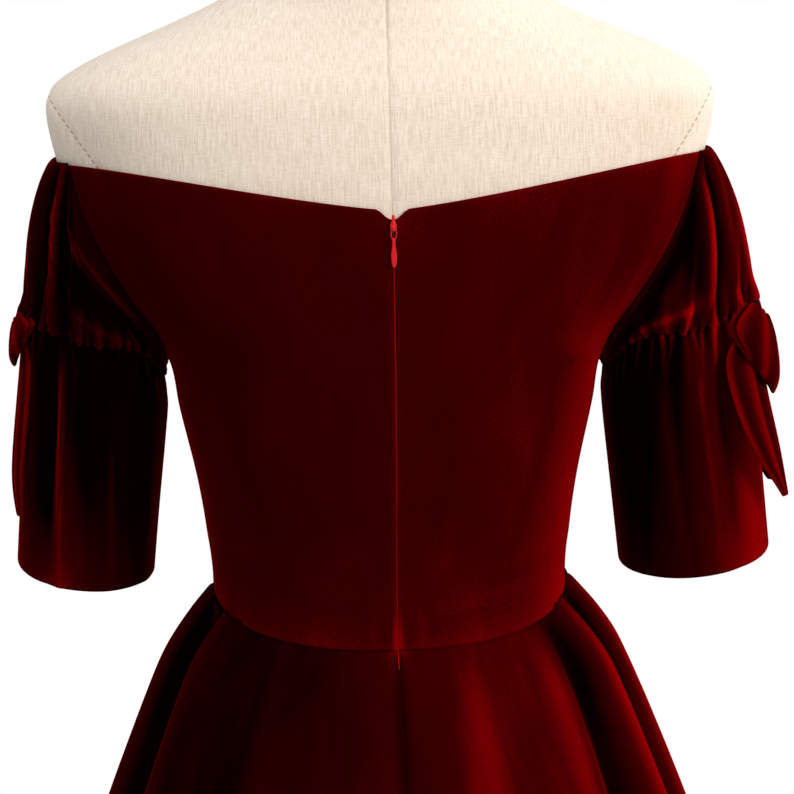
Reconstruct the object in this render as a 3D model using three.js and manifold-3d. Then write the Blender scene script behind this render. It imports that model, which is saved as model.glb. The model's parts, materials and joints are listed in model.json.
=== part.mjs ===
import * as THREE from 'three';
import { mergeVertices } from 'three/addons/utils/BufferGeometryUtils.js';
import Module from 'manifold-3d';

// Off-shoulder dress of dark red velvet, worn by a limbless linen dress form on a round stand.
// Millimetres, +Z up. The form faces -Y, so the zip is on the +Y side and the wearer's left
// is +X. The origin is the centre of the stand's underside.

const wasm = await Module();
wasm.setup();

// Driving dimensions.
const cloth = 2;
const seamGap = 0.5;
const rest = 0.6;
const formInset = 1.4;
const neckTop = 1304;
const underarm = 1178;
const backNeck = { centre: 1277, rise: 28 };
const frontNeck = { centre: 1262, rise: 43 };
const backWaist = { centre: 995.5, rise: 32.5 };
const frontWaist = { centre: 1012, rise: 16 };
const hem = 335;
const princessSeam = 0.46;
const sleeve = { gatherRadius: 48, hemRadius: 49.5, gatherHeight: 1190, forward: 28, swell: 2.2 };
const gathers = { count: 36, depth: 1.5, riseOutside: 22, dipInside: 26 };
const puffTop = { corner: 60, above: 4.1, leave: 12, arrive: 7 };
const zip = { width: 1.4, half: 1, top: 1266, coilTop: 1260, tail: 10, offCloth: 0.6 };
const slider = { thick: 1.5, bailWide: 1.2, bailAbove: 0.35 };
const pull = { length: 24, thick: 1, bar: 0.45, eyeHalf: 0.95, eyeLength: 3 };
const pole = { radius: 12.5, base: 170, collar: 24, collarTop: 42, flange: 45, flangeThick: 6, socket: 34 };
const neck = { height: 1494, centre: 12 };
const standGap = 0.3;

// The dress form, level by level: half its width, its depth before and behind the pole's
// axis, and how square the section is (2 is an ellipse).
const formSections = [
  { height: 760, half: 146, front: 98, back: 104, square: 2.2 },
  { height: 800, half: 162, front: 107, back: 115, square: 2.2 },
  { height: 850, half: 164, front: 110, back: 117, square: 2.2 },
  { height: 900, half: 153, front: 107, back: 107, square: 2.2 },
  { height: 950, half: 136, front: 99, back: 91, square: 2.2 },
  { height: 1000, half: 116, front: 91, back: 77, square: 2.2 },
  { height: 1030, half: 112.5, front: 87, back: 76, square: 2.2 },
  { height: 1065, half: 116, front: 89, back: 81, square: 2.2 },
  { height: 1100, half: 121.5, front: 99, back: 90, square: 2.2 },
  { height: 1145, half: 131.5, front: 117, back: 97, square: 2.2 },
  { height: 1175, half: 137, front: 123, back: 100, square: 2.3 },
  { height: 1195, half: 149, front: 119, back: 101, square: 2.4 },
  { height: 1220, half: 170, front: 111, back: 102, square: 2.5 },
  { height: 1245, half: 188, front: 104, back: 102, square: 2.5 },
  { height: 1272, half: 201, front: 98, back: 101, square: 2.5 },
  { height: 1300, half: 207, front: 95, back: 100, square: 2.5 },
  { height: 1337, half: 214, front: 90, back: 95, square: 2.5 },
  { height: 1353, half: 209, front: 85, back: 91, square: 2.4 },
  { height: 1366, half: 190, front: 79, back: 86, square: 2.3 },
  { height: 1379, half: 162, front: 72, back: 81, square: 2.2 },
  { height: 1392, half: 131, front: 64, back: 77, square: 2.1 },
  { height: 1405, half: 103, front: 57, back: 74, square: 2 },
  { height: 1422, half: 75, front: 50, back: 71, square: 2 },
  { height: 1445, half: 59, front: 45, back: 69, square: 2 },
  { height: 1494, half: 54, front: 42, back: 66, square: 2 },
];

// The turned neck cap: radius at each height above the form's neck.
const capProfile = [
  { radius: 44, up: 0 },
  { radius: 52, up: 5 },
  { radius: 52, up: 12 },
  { radius: 47, up: 17 },
  { radius: 14, up: 19 },
  { radius: 9, up: 23 },
  { radius: 9, up: 27 },
  { radius: 15, up: 34 },
  { radius: 13, up: 42 },
  { radius: 0, up: 46 },
];

// How far the armhole seam stands behind, or before, the side of the form.
const armhole = [
  { height: 1178, reach: 0 },
  { height: 1184, reach: 24 },
  { height: 1196, reach: 40 },
  { height: 1229, reach: 49 },
  { height: 1266, reach: 49 },
  { height: 1304, reach: 43 },
];

// How far the skirt swings out below the waist seam.
const flare = [
  { drop: 0, out: 0 },
  { drop: 16, out: 11 },
  { drop: 42, out: 25 },
  { drop: 83, out: 43 },
  { drop: 146, out: 67 },
  { drop: 300, out: 120 },
  { drop: 500, out: 182 },
  { drop: 695, out: 236 },
];

// The skirt's folds: where each ridge stands, counted in degrees from the wearer's left side
// by way of the back, how deep and how wide it is at the hem, and how far down it starts.
const skirtFolds = [
  { at: 5, depth: 30, width: 9, start: 0 },
  { at: 31, depth: 36, width: 10, start: -25 },
  { at: 60, depth: 27, width: 9, start: 40 },
  { at: 86, depth: 22, width: 8, start: 70 },
  { at: 107, depth: 30, width: 9, start: 30 },
  { at: 134, depth: 34, width: 10, start: -10 },
  { at: 163, depth: 34, width: 9, start: -25 },
  { at: 193, depth: 30, width: 10, start: 20 },
  { at: 222, depth: 33, width: 11, start: 10 },
  { at: 252, depth: 27, width: 9, start: 60 },
  { at: 281, depth: 31, width: 10, start: 40 },
  { at: 309, depth: 34, width: 10, start: 10 },
  { at: 336, depth: 26, width: 9, start: 30 },
];

// The soft folds of a puff, in degrees from its outer side by way of the back.
const puffFolds = [
  { at: 24, depth: 4, width: 11 },
  { at: 66, depth: 5, width: 10 },
  { at: 112, depth: 3, width: 11 },
  { at: 205, depth: 2, width: 12 },
  { at: 246, depth: 4, width: 11 },
  { at: 292, depth: 5, width: 11 },
  { at: 334, depth: 4, width: 10 },
];

// Each sleeve: how far out its axis is at the gathers and at the hem, the hem's height, how wide
// the gathers and the hem and how deep the hem are beside round ones, and how far the puff
// swells. The bow on it is turned from the outer side towards the back and stands away from the
// sleeve, and its loops may be narrower than loopLine's.
const arms = [
  {
    word: 'left', side: 1,
    topOut: 184, hemOut: 198, hemHeight: 1038, topWide: 0.93, wide: 0.9, deep: 1.05, puff: 10,
    bowTurn: -9, bowStand: 0.3, loopWide: 0.8,
  },
  {
    word: 'right', side: -1,
    topOut: 187, hemOut: 205, hemHeight: 1035, topWide: 1, wide: 1, deep: 1, puff: 14.5,
    bowTurn: 2, bowStand: 1, loopWide: 1,
  },
];

// The bows hang on the outer side of each sleeve. Places are given round the sleeve's axis:
// degrees from its outer side, height, and distance from the axis.
const knot = { height: 1203, tall: 24, wide: 9, near: 50.8, deep: 9, neck: 0.62 };
const knotRings = [0, 0.12, 0.35, 0.65, 0.88, 1];
const tailOff = 1.2;
const loopOff = 3.9;
const loopLine = [
  { along: 0, turn: 21.6, height: 1200, half: 10.5, slant: 0.5, lift: 1, thick: 4 },
  { along: 0.3, turn: 30, height: 1188, half: 19, slant: 0.4, lift: 2, thick: 7 },
  { along: 0.7, turn: 35, height: 1168, half: 23, slant: 0.45, lift: 2.5, thick: 8 },
  { along: 1, turn: 36, height: 1150, half: 16, slant: 0.8, lift: 3, thick: 7 },
];
const tailLine = [
  { along: 0, turn: 10, height: 1190.4, half: 6, lift: 2 },
  { along: 0.25, turn: 32, height: 1168, half: 14, lift: 2.5 },
  { along: 0.5, turn: 39, height: 1141, half: 16.5, lift: 4.5 },
  { along: 0.8, turn: 36, height: 1106, half: 12, lift: 11 },
  { along: 1, turn: 28, height: 1077, half: 4, lift: 15 },
];

// The zip's metal parts in outline, across and up from the pull's hinge.
const sliderOutline = [
  [-1.5, -6], [1.5, -6], [2.4, -1], [2.4, 2], [1.6, 3.4], [-1.6, 3.4], [-2.4, 2], [-2.4, -1],
];
const bailOutline = [
  [-1.75, -1.1], [1.75, -1.1], [1.75, 1.3], [1.2, 1.7], [-1.2, 1.7], [-1.75, 1.3],
];
const bailEye = [[-1.05, -0.85], [-1.05, 1], [1.05, 1], [1.05, -0.85]];

const velvet = { color: 0x5c060e, roughness: 0.9, metalness: 0 };
const linen = { color: 0xddd2bf, roughness: 0.85, metalness: 0 };
const beech = { color: 0xc09868, roughness: 0.5, metalness: 0 };
const steel = { color: 0x2c2c2e, roughness: 0.45, metalness: 0.6 };
const enamel = { color: 0xb4142c, roughness: 0.35, metalness: 0.2 };
const zipTape = { color: 0x6a0b16, roughness: 0.8, metalness: 0 };

const degrees = Math.PI / 180;
const quarter = Math.PI / 2;
const model = new THREE.Group();

function addMesh(name, geometry, finish) {
  const mesh = new THREE.Mesh(geometry, new THREE.MeshStandardMaterial(finish));
  mesh.name = name;
  model.add(mesh);
}

/** Reads a table at any value of its key column, each column on a smooth curve through its rows. */
function rowAt(table, key, value) {
  const last = table.length - 1;
  const place = THREE.MathUtils.clamp(value, table[0][key], table[last][key]);
  let i = 0;
  while (i < last - 1 && place > table[i + 1][key]) i++;
  const [from, to] = [table[i], table[i + 1]];
  const [before, after] = [table[Math.max(i - 1, 0)], table[Math.min(i + 2, last)]];
  const span = to[key] - from[key];
  const t = (place - from[key]) / span;
  const row = {};
  for (const column of Object.keys(from)) {
    const slopeIn = (to[column] - before[column]) / (to[key] - before[key]);
    const slopeOut = (after[column] - from[column]) / (after[key] - from[key]);
    row[column] = from[column] * (1 + 2 * t) * (1 - t) ** 2
      + slopeIn * span * t * (1 - t) ** 2
      + to[column] * t ** 2 * (3 - 2 * t)
      - slopeOut * span * t ** 2 * (1 - t);
  }
  return row;
}

/** Evenly spaced values from 0 to 1. */
function steps(count) {
  return Array.from({ length: count + 1 }, (_, i) => i / count);
}

/**
 * Joins a row of rings of points into one closed skin whose faces point out. A ring may have
 * twice as many points as its neighbour. The ends are joined to each other ('loop'), closed by
 * strips between a panel's two faces ('strips'), or closed by a fan round a middle point ('fans').
 */
function skin(rings, ends) {
  const points = rings.flat();
  const first = [];
  rings.reduce((sum, ring, k) => ((first[k] = sum), sum + ring.length), 0);
  const faces = [];
  const index = (k, i) => first[k] + ((i + rings[k].length) % rings[k].length);
  const pairs = ends === 'loop' ? rings.length : rings.length - 1;
  for (let k = 0; k < pairs; k++) {
    const next = (k + 1) % rings.length;
    const [n, m] = [rings[k].length, rings[next].length];
    const a = (i) => index(k, i);
    const b = (i) => index(next, i);
    for (let i = 0; i < Math.min(n, m); i++) {
      if (n === m) {
        faces.push([a(i), b(i), b(i + 1)], [a(i), b(i + 1), a(i + 1)]);
      } else if (m > n) {
        faces.push([a(i), b(2 * i), b(2 * i + 1)], [a(i), b(2 * i + 1), a(i + 1)]);
        faces.push([a(i + 1), b(2 * i + 1), b(2 * i + 2)]);
      } else {
        faces.push([a(2 * i), b(i), a(2 * i + 1)], [b(i), b(i + 1), a(2 * i + 1)]);
        faces.push([b(i + 1), a(2 * i + 2), a(2 * i + 1)]);
      }
    }
  }
  for (const [k, turned] of ends === 'loop' ? [] : [[0, false], [rings.length - 1, true]]) {
    const count = rings[k].length;
    const caps = [];
    if (ends === 'fans') {
      const middle = rings[k].reduce((sum, p) => sum.add(p), new THREE.Vector3());
      points.push(middle.divideScalar(count));
      for (let i = 0; i < count; i++) caps.push([points.length - 1, index(k, i), index(k, i + 1)]);
    } else {
      for (let i = 0; i < count / 2 - 1; i++) {
        caps.push([index(k, i), index(k, i + 1), index(k, -i - 2)]);
        caps.push([index(k, i), index(k, -i - 2), index(k, -i - 1)]);
      }
    }
    faces.push(...caps.map((face) => (turned ? face.reverse() : face)));
  }
  const volume = faces.reduce((sum, [a, b, c]) => {
    return sum + points[a].dot(points[b].clone().cross(points[c]));
  }, 0);
  const out = volume > 0 ? faces : faces.map((face) => [...face].reverse());
  const geometry = new THREE.BufferGeometry().setFromPoints(points);
  geometry.setIndex(out.flat());
  return geometry.toNonIndexed();
}

/** A cloth panel: a wall between two faces, each given as a point for (across, up). */
function panel(outer, inner, columns, rows) {
  return skin(steps(rows).map((up) => [
    ...steps(columns).map((across) => outer(across, up)),
    ...steps(columns).reverse().map((across) => inner(across, up)),
  ]), 'strips');
}

/** Moves a point of a surface along the surface's normal. */
function lifted(surface, u, v, lift) {
  const step = 1e-3;
  const along = surface(u + step, v).sub(surface(u - step, v));
  const across = surface(u, v + step).sub(surface(u, v - step));
  return surface(u, v).add(along.cross(across).normalize().multiplyScalar(lift));
}

/** A closed section with its own depth before and behind: an ellipse, or squarer. */
function sectionPoint(row, turn, height) {
  const power = 2 / row.square;
  const depth = Math.sin(turn) > 0 ? row.back : row.front;
  const x = row.half * Math.sign(Math.cos(turn)) * Math.abs(Math.cos(turn)) ** power;
  const y = depth * Math.sign(Math.sin(turn)) * Math.abs(Math.sin(turn)) ** power;
  return new THREE.Vector3(x, y, height);
}

/** The dress form's surface, turned from the wearer's left side by way of the back. */
function formSurface(turn, height) {
  return sectionPoint(rowAt(formSections, 'height', height), turn, height);
}

function onForm(turn, height, lift) {
  return lifted(formSurface, turn, height, lift);
}

/** The turn at which the form's section is a given distance from its centre line. */
function turnAcross(x, height) {
  const row = rowAt(formSections, 'height', height);
  return Math.acos((x / row.half) ** (row.square / 2));
}

/** The turn of the bodice's outer edge: the side seam below the underarm, the armhole above it. */
function edgeTurn(height, back) {
  if (height <= underarm) return 0;
  const row = rowAt(formSections, 'height', height);
  const { reach } = rowAt(armhole, 'height', height);
  return Math.asin((reach / (back ? row.back : row.front)) ** (row.square / 2));
}

function waistHeight(fromCentre, back) {
  const seam = back ? backWaist : frontWaist;
  return seam.centre + seam.rise * fromCentre ** 2;
}

/**
 * A quarter of the bodice: fromCentre runs from the centre line to the side seam and armhole,
 * up runs from the waist seam to the neckline.
 */
function bodicePoint({ side, back }, fromCentre, up, lift, centreHalf) {
  const neck = back ? backNeck : frontNeck;
  const bottom = waistHeight(fromCentre, back);
  const top = neck.centre + neck.rise * Math.sin(fromCentre * quarter);
  const height = bottom + (top - bottom) * up;
  const centre = centreHalf ? turnAcross(centreHalf, height) : quarter;
  const turn = centre + (edgeTurn(height, back) - centre) * fromCentre;
  const point = onForm(back ? turn : -turn, height, lift);
  return point.setX(point.x * side);
}

function addBodicePanel(name, quarterOf, from, to, columns, centreHalf) {
  const rows = 12;
  const face = (lift) => (across, up) => {
    const fromCentre = from + (to - from) * across;
    const place = fromCentre < 0 ? { ...quarterOf, side: -quarterOf.side } : quarterOf;
    return bodicePoint(place, Math.abs(fromCentre), up, lift, centreHalf);
  };
  addMesh(name, panel(face(rest + cloth), face(rest), columns, rows), velvet);
}

/** The stand: a round base, a pole, the form's flange and the form with its neck cap. */
function addFormAndStand() {
  const around = 36;
  const heights = formSections.map((row) => row.height);
  const rings = heights.map((height) => steps(around).slice(0, around)
    .map((t) => onForm(2 * Math.PI * t, height, -formInset).setZ(height)));
  addMesh('form_torso', skin(rings, 'fans'), linen);

  const lathe = (name, sides, finish, profile, centre) => {
    const outline = profile.map(([radius, height]) => new THREE.Vector2(radius, height));
    const geometry = new THREE.LatheGeometry(outline, sides);
    geometry.rotateX(quarter).translate(0, centre, 0);
    addMesh(name, geometry, finish);
  };
  lathe('neck_cap', 16, beech, [
    [0, neck.height + standGap],
    ...capProfile.map((row) => [row.radius, neck.height + Math.max(row.up, standGap)]),
  ], neck.centre);
  const flangeTop = formSections[0].height - standGap;
  const flangeFoot = flangeTop - pole.socket;
  lathe('stand_flange', 24, steel, [
    [0, flangeFoot],
    [pole.radius + 5, flangeFoot],
    [pole.radius + 5, flangeTop - pole.flangeThick],
    [pole.flange, flangeTop - pole.flangeThick],
    [pole.flange, flangeTop],
    [0, flangeTop],
  ], 0);
  lathe('stand_pole', 16, steel, [
    [0, pole.collarTop + standGap],
    [pole.radius, pole.collarTop + standGap],
    [pole.radius, flangeFoot - standGap],
    [0, flangeFoot - standGap],
  ], 0);
  lathe('stand_base', 24, steel, [
    [0, 0],
    [pole.base, 0],
    [pole.base + 2, 3],
    [pole.base - 2, 8],
    [pole.collar + 30, 13],
    [pole.collar, 18],
    [pole.collar, pole.collarTop - 4],
    [pole.collar - 4, pole.collarTop],
    [0, pole.collarTop],
  ], 0);
}

/** The bodice: two back panels that meet at the zip, and three front ones with princess seams. */
function addBodice() {
  const edge = 0.0015;
  for (const [word, side] of [['left', 1], ['right', -1]]) {
    addBodicePanel(`bodice_back_${word}`, { side, back: true }, 0, 1 - edge, 10, zip.half);
    addBodicePanel(`bodice_side_front_${word}`, { side, back: false }, princessSeam + edge, 1 - edge, 6);
  }
  const reach = princessSeam - edge;
  addBodicePanel('bodice_front_centre', { side: 1, back: false }, -reach, reach, 10);
}

/** A ridge round a circle, in degrees: 1 at its top, and less than 0 far away, so it adds nothing in all. */
function ridge(distance, width) {
  return Math.exp(-((distance / width) ** 2)) - (Math.sqrt(Math.PI) * width) / 360;
}

function turnBetween(a, b) {
  return ((a - b + 540) % 360) - 180;
}

/** The skirt's inner face: turn as on the form, fall from the waist seam (0) to the hem (1). */
function skirtPoint(turn, fall) {
  const back = Math.sin(turn) > 0;
  const fromCentre = 1 - Math.asin(Math.abs(Math.sin(turn))) / quarter;
  const top = onForm(turn, waistHeight(fromCentre, back) - seamGap, rest);
  const drop = fall * (top.z - hem);
  const length = flare[flare.length - 1].drop;
  let out = rowAt(flare, 'drop', drop).out;
  for (const fold of skirtFolds) {
    const grown = THREE.MathUtils.smoothstep(drop, fold.start, length) ** 0.8;
    const spread = fold.width * (1.25 - 0.25 * grown);
    out += fold.depth * grown * ridge(turnBetween(turn / degrees, fold.at), spread);
  }
  return top.add(new THREE.Vector3(Math.cos(turn) * out, Math.sin(turn) * out, -drop));
}

function addSkirtPanel(name, from, to, columns, gaps) {
  const rows = 11;
  const wall = cloth * 1.15;
  const shifted = (across, down, thick) => {
    const turn = from + (to - from) * across;
    const fall = down ** 1.25;
    const point = skirtPoint(turn, fall);
    point.add(new THREE.Vector3(Math.cos(turn), Math.sin(turn), 0).multiplyScalar(thick));
    const alongSeam = new THREE.Vector3(-Math.sin(turn), Math.cos(turn), 0);
    if (across === 0) point.addScaledVector(alongSeam, gaps[0](fall));
    if (across === 1) point.addScaledVector(alongSeam, -gaps[1](fall));
    return point;
  };
  const outer = (across, down) => shifted(across, down, wall);
  const inner = (across, down) => shifted(across, down, 0);
  addMesh(name, panel(outer, inner, columns, rows), velvet);
}

/** The skirt: a front cut in one, and two backs that part a little where the zip ends. */
function addSkirt() {
  const sideSeam = () => seamGap / 2;
  const zipEnd = 0.06;
  const zipSeam = (fall) => (fall < zipEnd ? zip.half : seamGap / 2);
  addSkirtPanel('skirt_back_left', 0, quarter, 18, [sideSeam, zipSeam]);
  addSkirtPanel('skirt_back_right', quarter, 2 * quarter, 18, [zipSeam, sideSeam]);
  addSkirtPanel('skirt_front', 2 * quarter, 4 * quarter, 36, [sideSeam, sideSeam]);
}

/** The sleeve's axis leans outward and forward as it goes down. */
function sleeveAxis(arm, height) {
  const way = (sleeve.gatherHeight - height) / (sleeve.gatherHeight - arm.hemHeight);
  const out = THREE.MathUtils.lerp(arm.topOut, arm.hemOut, Math.max(way, -0.15));
  return new THREE.Vector3(arm.side * out, -sleeve.forward * Math.max(way, 0), height);
}

/** The direction out from the arm, turned from its outer side by way of the back. */
function outwardAt(arm, turn) {
  return new THREE.Vector3(arm.side * Math.cos(turn), Math.sin(turn), 0);
}

/** A place round the sleeve, which may be oval towards its hem. */
function roundSleeve(arm, turn, radius, height) {
  const way = (sleeve.gatherHeight - height) / (sleeve.gatherHeight - arm.hemHeight);
  const oval = THREE.MathUtils.clamp(way, 0, 1);
  const from = outwardAt(arm, turn).multiplyScalar(radius);
  from.x *= THREE.MathUtils.lerp(arm.topWide, arm.wide, oval);
  from.y *= THREE.MathUtils.lerp(1, arm.deep, oval);
  return from.add(sleeveAxis(arm, height));
}

/** The line of gathers round the arm: level behind, higher outside, lower at the underarm. */
function gatherHeight(turn) {
  const c = Math.cos(turn);
  return sleeve.gatherHeight + gathers.riseOutside * Math.max(c, 0) ** 1.6
    - gathers.dipInside * Math.max(-c, 0) ** 3;
}

/** The puff's upper edge: along the neckline outside the shoulder, then down round the armhole. */
function puffEdge(arm, turn) {
  const half = Math.abs(Math.atan2(Math.sin(turn), Math.cos(turn)));
  const back = Math.sin(turn) > 0;
  const corner = puffTop.corner * degrees;
  let [height, around] = [neckTop, (edgeTurn(neckTop, back) * half) / corner];
  if (half > corner) {
    const way = (half - corner) / (Math.PI - corner);
    height = neckTop - (neckTop - underarm) * Math.sin(way * quarter) ** 1.3;
    around = edgeTurn(height, back);
  }
  const point = onForm(back ? around : -around, height, puffTop.above);
  return point.setX(point.x * arm.side);
}

/** The puff's middle surface, from the armhole and neckline (0) down to the gathers (1). */
function puffSurface(arm) {
  const rim = seamGap / 2 + cloth * 0.8;
  return (turn, fall) => {
    const t = THREE.MathUtils.clamp(fall, -0.1, 1.1);
    const start = puffEdge(arm, turn);
    const end = roundSleeve(arm, turn, sleeve.gatherRadius, gatherHeight(turn) + rim);
    const outward = outwardAt(arm, turn);
    const outside = (1 + Math.cos(turn)) / 2;
    const full = arm.puff * Math.sqrt(outside);
    const leave = start.clone().addScaledVector(outward, full).setZ(start.z - puffTop.leave + 2 * outside);
    const arrive = end.clone().addScaledVector(outward, full * 0.8)
      .setZ(end.z + puffTop.arrive * outside + 1);
    const point = start.multiplyScalar((1 - t) ** 3)
      .addScaledVector(leave, 3 * t * (1 - t) ** 2)
      .addScaledVector(arrive, 3 * t ** 2 * (1 - t))
      .addScaledVector(end, t ** 3);
    const inside = Math.sin(Math.PI * THREE.MathUtils.clamp(fall, 0, 1)) ** 0.7;
    for (const fold of puffFolds) {
      const height = ridge(turnBetween(turn / degrees, fold.at), fold.width);
      point.addScaledVector(outward, fold.depth * inside * height);
    }
    return point;
  };
}

/** The lower sleeve's middle surface, from the gathers (0) to the hem (1). */
function lowerSurface(arm) {
  const lean = new THREE.Vector3().subVectors(
    sleeveAxis(arm, arm.hemHeight),
    sleeveAxis(arm, sleeve.gatherHeight),
  ).normalize();
  return (turn, fall) => {
    const top = gatherHeight(turn) - seamGap / 2;
    const bottom = arm.hemHeight - (sleeve.hemRadius * outwardAt(arm, turn).dot(lean)) / lean.z;
    const swell = sleeve.swell * THREE.MathUtils.smoothstep(fall, 0, 0.16) * (1 - fall);
    const radius = THREE.MathUtils.lerp(sleeve.gatherRadius, sleeve.hemRadius, fall) + swell;
    return roundSleeve(arm, turn, radius, THREE.MathUtils.lerp(top, bottom, fall));
  };
}

/** A tube of cloth whose outer face has twice the points, and the gathers, near its gathered end. */
function addSleeveTube(name, arm, surface, falls, gatheredFrom) {
  const turns = (count) => steps(count).slice(0, count).map((t) => 2 * Math.PI * t);
  const outer = falls.map((fall) => {
    const depth = Math.max(gatheredFrom(fall), 0) * gathers.depth;
    return turns(depth > 0 ? 2 * gathers.count : gathers.count).map((turn, i) => {
      const point = lifted(surface, turn, fall, -arm.side * cloth / 2);
      return point.addScaledVector(outwardAt(arm, turn), (i % 2) * depth);
    });
  });
  const inner = falls.map((fall) => turns(gathers.count)
    .map((turn) => lifted(surface, turn, fall, arm.side * cloth / 2)));
  addMesh(name, skin([...outer, ...inner.reverse()], 'loop'), velvet);
}

function addSleeves() {
  for (const arm of arms) {
    addSleeveTube(`sleeve_puff_${arm.word}`, arm, puffSurface(arm),
      [0, 0.1, 0.24, 0.4, 0.56, 0.7, 0.82, 0.92, 1], (fall) => (fall - 0.84) / 0.16);
    addSleeveTube(`sleeve_lower_${arm.word}`, arm, lowerSurface(arm),
      [0, 0.06, 0.14, 0.3, 0.5, 0.75, 1], (fall) => 1 - fall / 0.12);
  }
}

/** A place on a bow: degrees round the sleeve from the bow's middle, towards the back or front. */
function bowPoint(arm, towards, degreesRound, height, radius) {
  return roundSleeve(arm, (arm.bowTurn + towards * degreesRound) * degrees, radius, height);
}

const bowBase = sleeve.gatherRadius + cloth + gathers.depth;

/** A ribbon loop: out from the knot on its outer layer, round its end, and back beneath. */
function addLoop(name, arm, towards) {
  const ribbon = (way, across) => {
    const bend = Math.PI * way;
    const row = rowAt(loopLine, 'along', Math.sin(bend));
    const width = (across - 0.5) * 2 * row.half * arm.loopWide;
    const round = row.turn + width / (bowBase * degrees);
    const thick = row.thick * (0.6 + 0.4 * arm.bowStand);
    const middle = bowBase + (row.lift - 0.12 * width) * arm.bowStand + loopOff + thick / 2;
    const radius = middle + (Math.cos(bend) * thick) / 2;
    return bowPoint(arm, towards, round, row.height + row.slant * width, radius);
  };
  const face = (lift) => (across, up) => lifted((u, v) => ribbon(v, u), across, up, lift);
  addMesh(name, panel(face(cloth / 2), face(-cloth / 2), 4, 10), velvet);
}

/** A tail: a strip that leaves the knot beneath the loop and stands away from the sleeve. */
function addTail(name, arm, towards) {
  const strip = (across, down) => {
    const row = rowAt(tailLine, 'along', down);
    const width = (across - 0.5) * 2 * row.half;
    const round = row.turn + width / (bowBase * degrees);
    return bowPoint(arm, towards, round, row.height, bowBase + tailOff + row.lift * arm.bowStand);
  };
  const face = (lift) => (across, up) => lifted(strip, across, up, lift);
  addMesh(name, panel(face(cloth / 2), face(-cloth / 2), 3, 8), velvet);
}

/** The knot: a short wrapped roll that sits on the gathers. */
function addKnot(name, arm) {
  const rings = knotRings.map((up) => {
    const full = Math.sqrt(Math.sin(Math.PI * THREE.MathUtils.clamp(up, 0.06, 0.94)));
    const swell = knot.neck + (1 - knot.neck) * full;
    return steps(10).slice(0, 10).map((t) => {
      const around = 2 * Math.PI * t;
      const round = (Math.sin(around) * knot.wide * swell) / (knot.near * degrees);
      const radius = knot.near + knot.deep * (0.5 + 0.5 * Math.cos(around) * swell);
      return bowPoint(arm, 1, round, knot.height + (up - 0.5) * knot.tall, radius);
    });
  });
  addMesh(name, skin(rings, 'fans'), velvet);
}

function addBows() {
  for (const arm of arms) {
    addKnot(`bow_knot_${arm.word}`, arm);
    for (const [face, towards] of [['back', 1], ['front', -1]]) {
      addLoop(`bow_loop_${face}_${arm.word}`, arm, towards);
      addTail(`bow_tail_${face}_${arm.word}`, arm, towards);
    }
  }
}

/** Turns a closed geometry into a solid that can be joined to others. */
function solidOf(geometry) {
  geometry.deleteAttribute('normal');
  geometry.deleteAttribute('uv');
  const merged = mergeVertices(geometry, 1e-4);
  const mesh = new wasm.Mesh({
    numProp: 3,
    vertProperties: merged.attributes.position.array,
    triVerts: new Uint32Array(merged.index.array),
  });
  return new wasm.Manifold(mesh);
}

function geometryOf(solid) {
  const { vertProperties, triVerts } = solid.getMesh();
  const geometry = new THREE.BufferGeometry();
  geometry.setAttribute('position', new THREE.BufferAttribute(new Float32Array(vertProperties), 3));
  geometry.setIndex(Array.from(triVerts));
  return geometry.toNonIndexed();
}

/** An upright plate, extruded from its outline about the middle of its thickness. */
function plate(corners, hole, thick) {
  const vectors = (list) => list.map(([x, y]) => new THREE.Vector2(x, y));
  const shape = new THREE.Shape(vectors(corners));
  if (hole) shape.holes.push(new THREE.Path(vectors(hole)));
  const geometry = new THREE.ExtrudeGeometry(shape, { depth: thick, bevelEnabled: false });
  return geometry.translate(0, 0, -thick / 2).rotateX(quarter);
}

/** The pull tab's outline: a narrow neck at the eye and a fuller, rounded foot. */
function pullOutline() {
  const { bar, length } = pull;
  const outline = new THREE.Shape();
  outline.moveTo(-1.5, bar);
  outline.lineTo(-1.9, 0);
  outline.lineTo(-1.9, -3.6);
  outline.quadraticCurveTo(-1.5, -7, -2, -11);
  outline.quadraticCurveTo(-2.7, -17, -1.5, 2 - length);
  outline.quadraticCurveTo(0, bar - length, 1.5, 2 - length);
  outline.quadraticCurveTo(2.7, -17, 2, -11);
  outline.quadraticCurveTo(1.5, -7, 1.9, -3.6);
  outline.lineTo(1.9, 0);
  outline.lineTo(1.5, bar);
  return outline.getPoints(5).map((point) => [point.x, point.y]);
}

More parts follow.
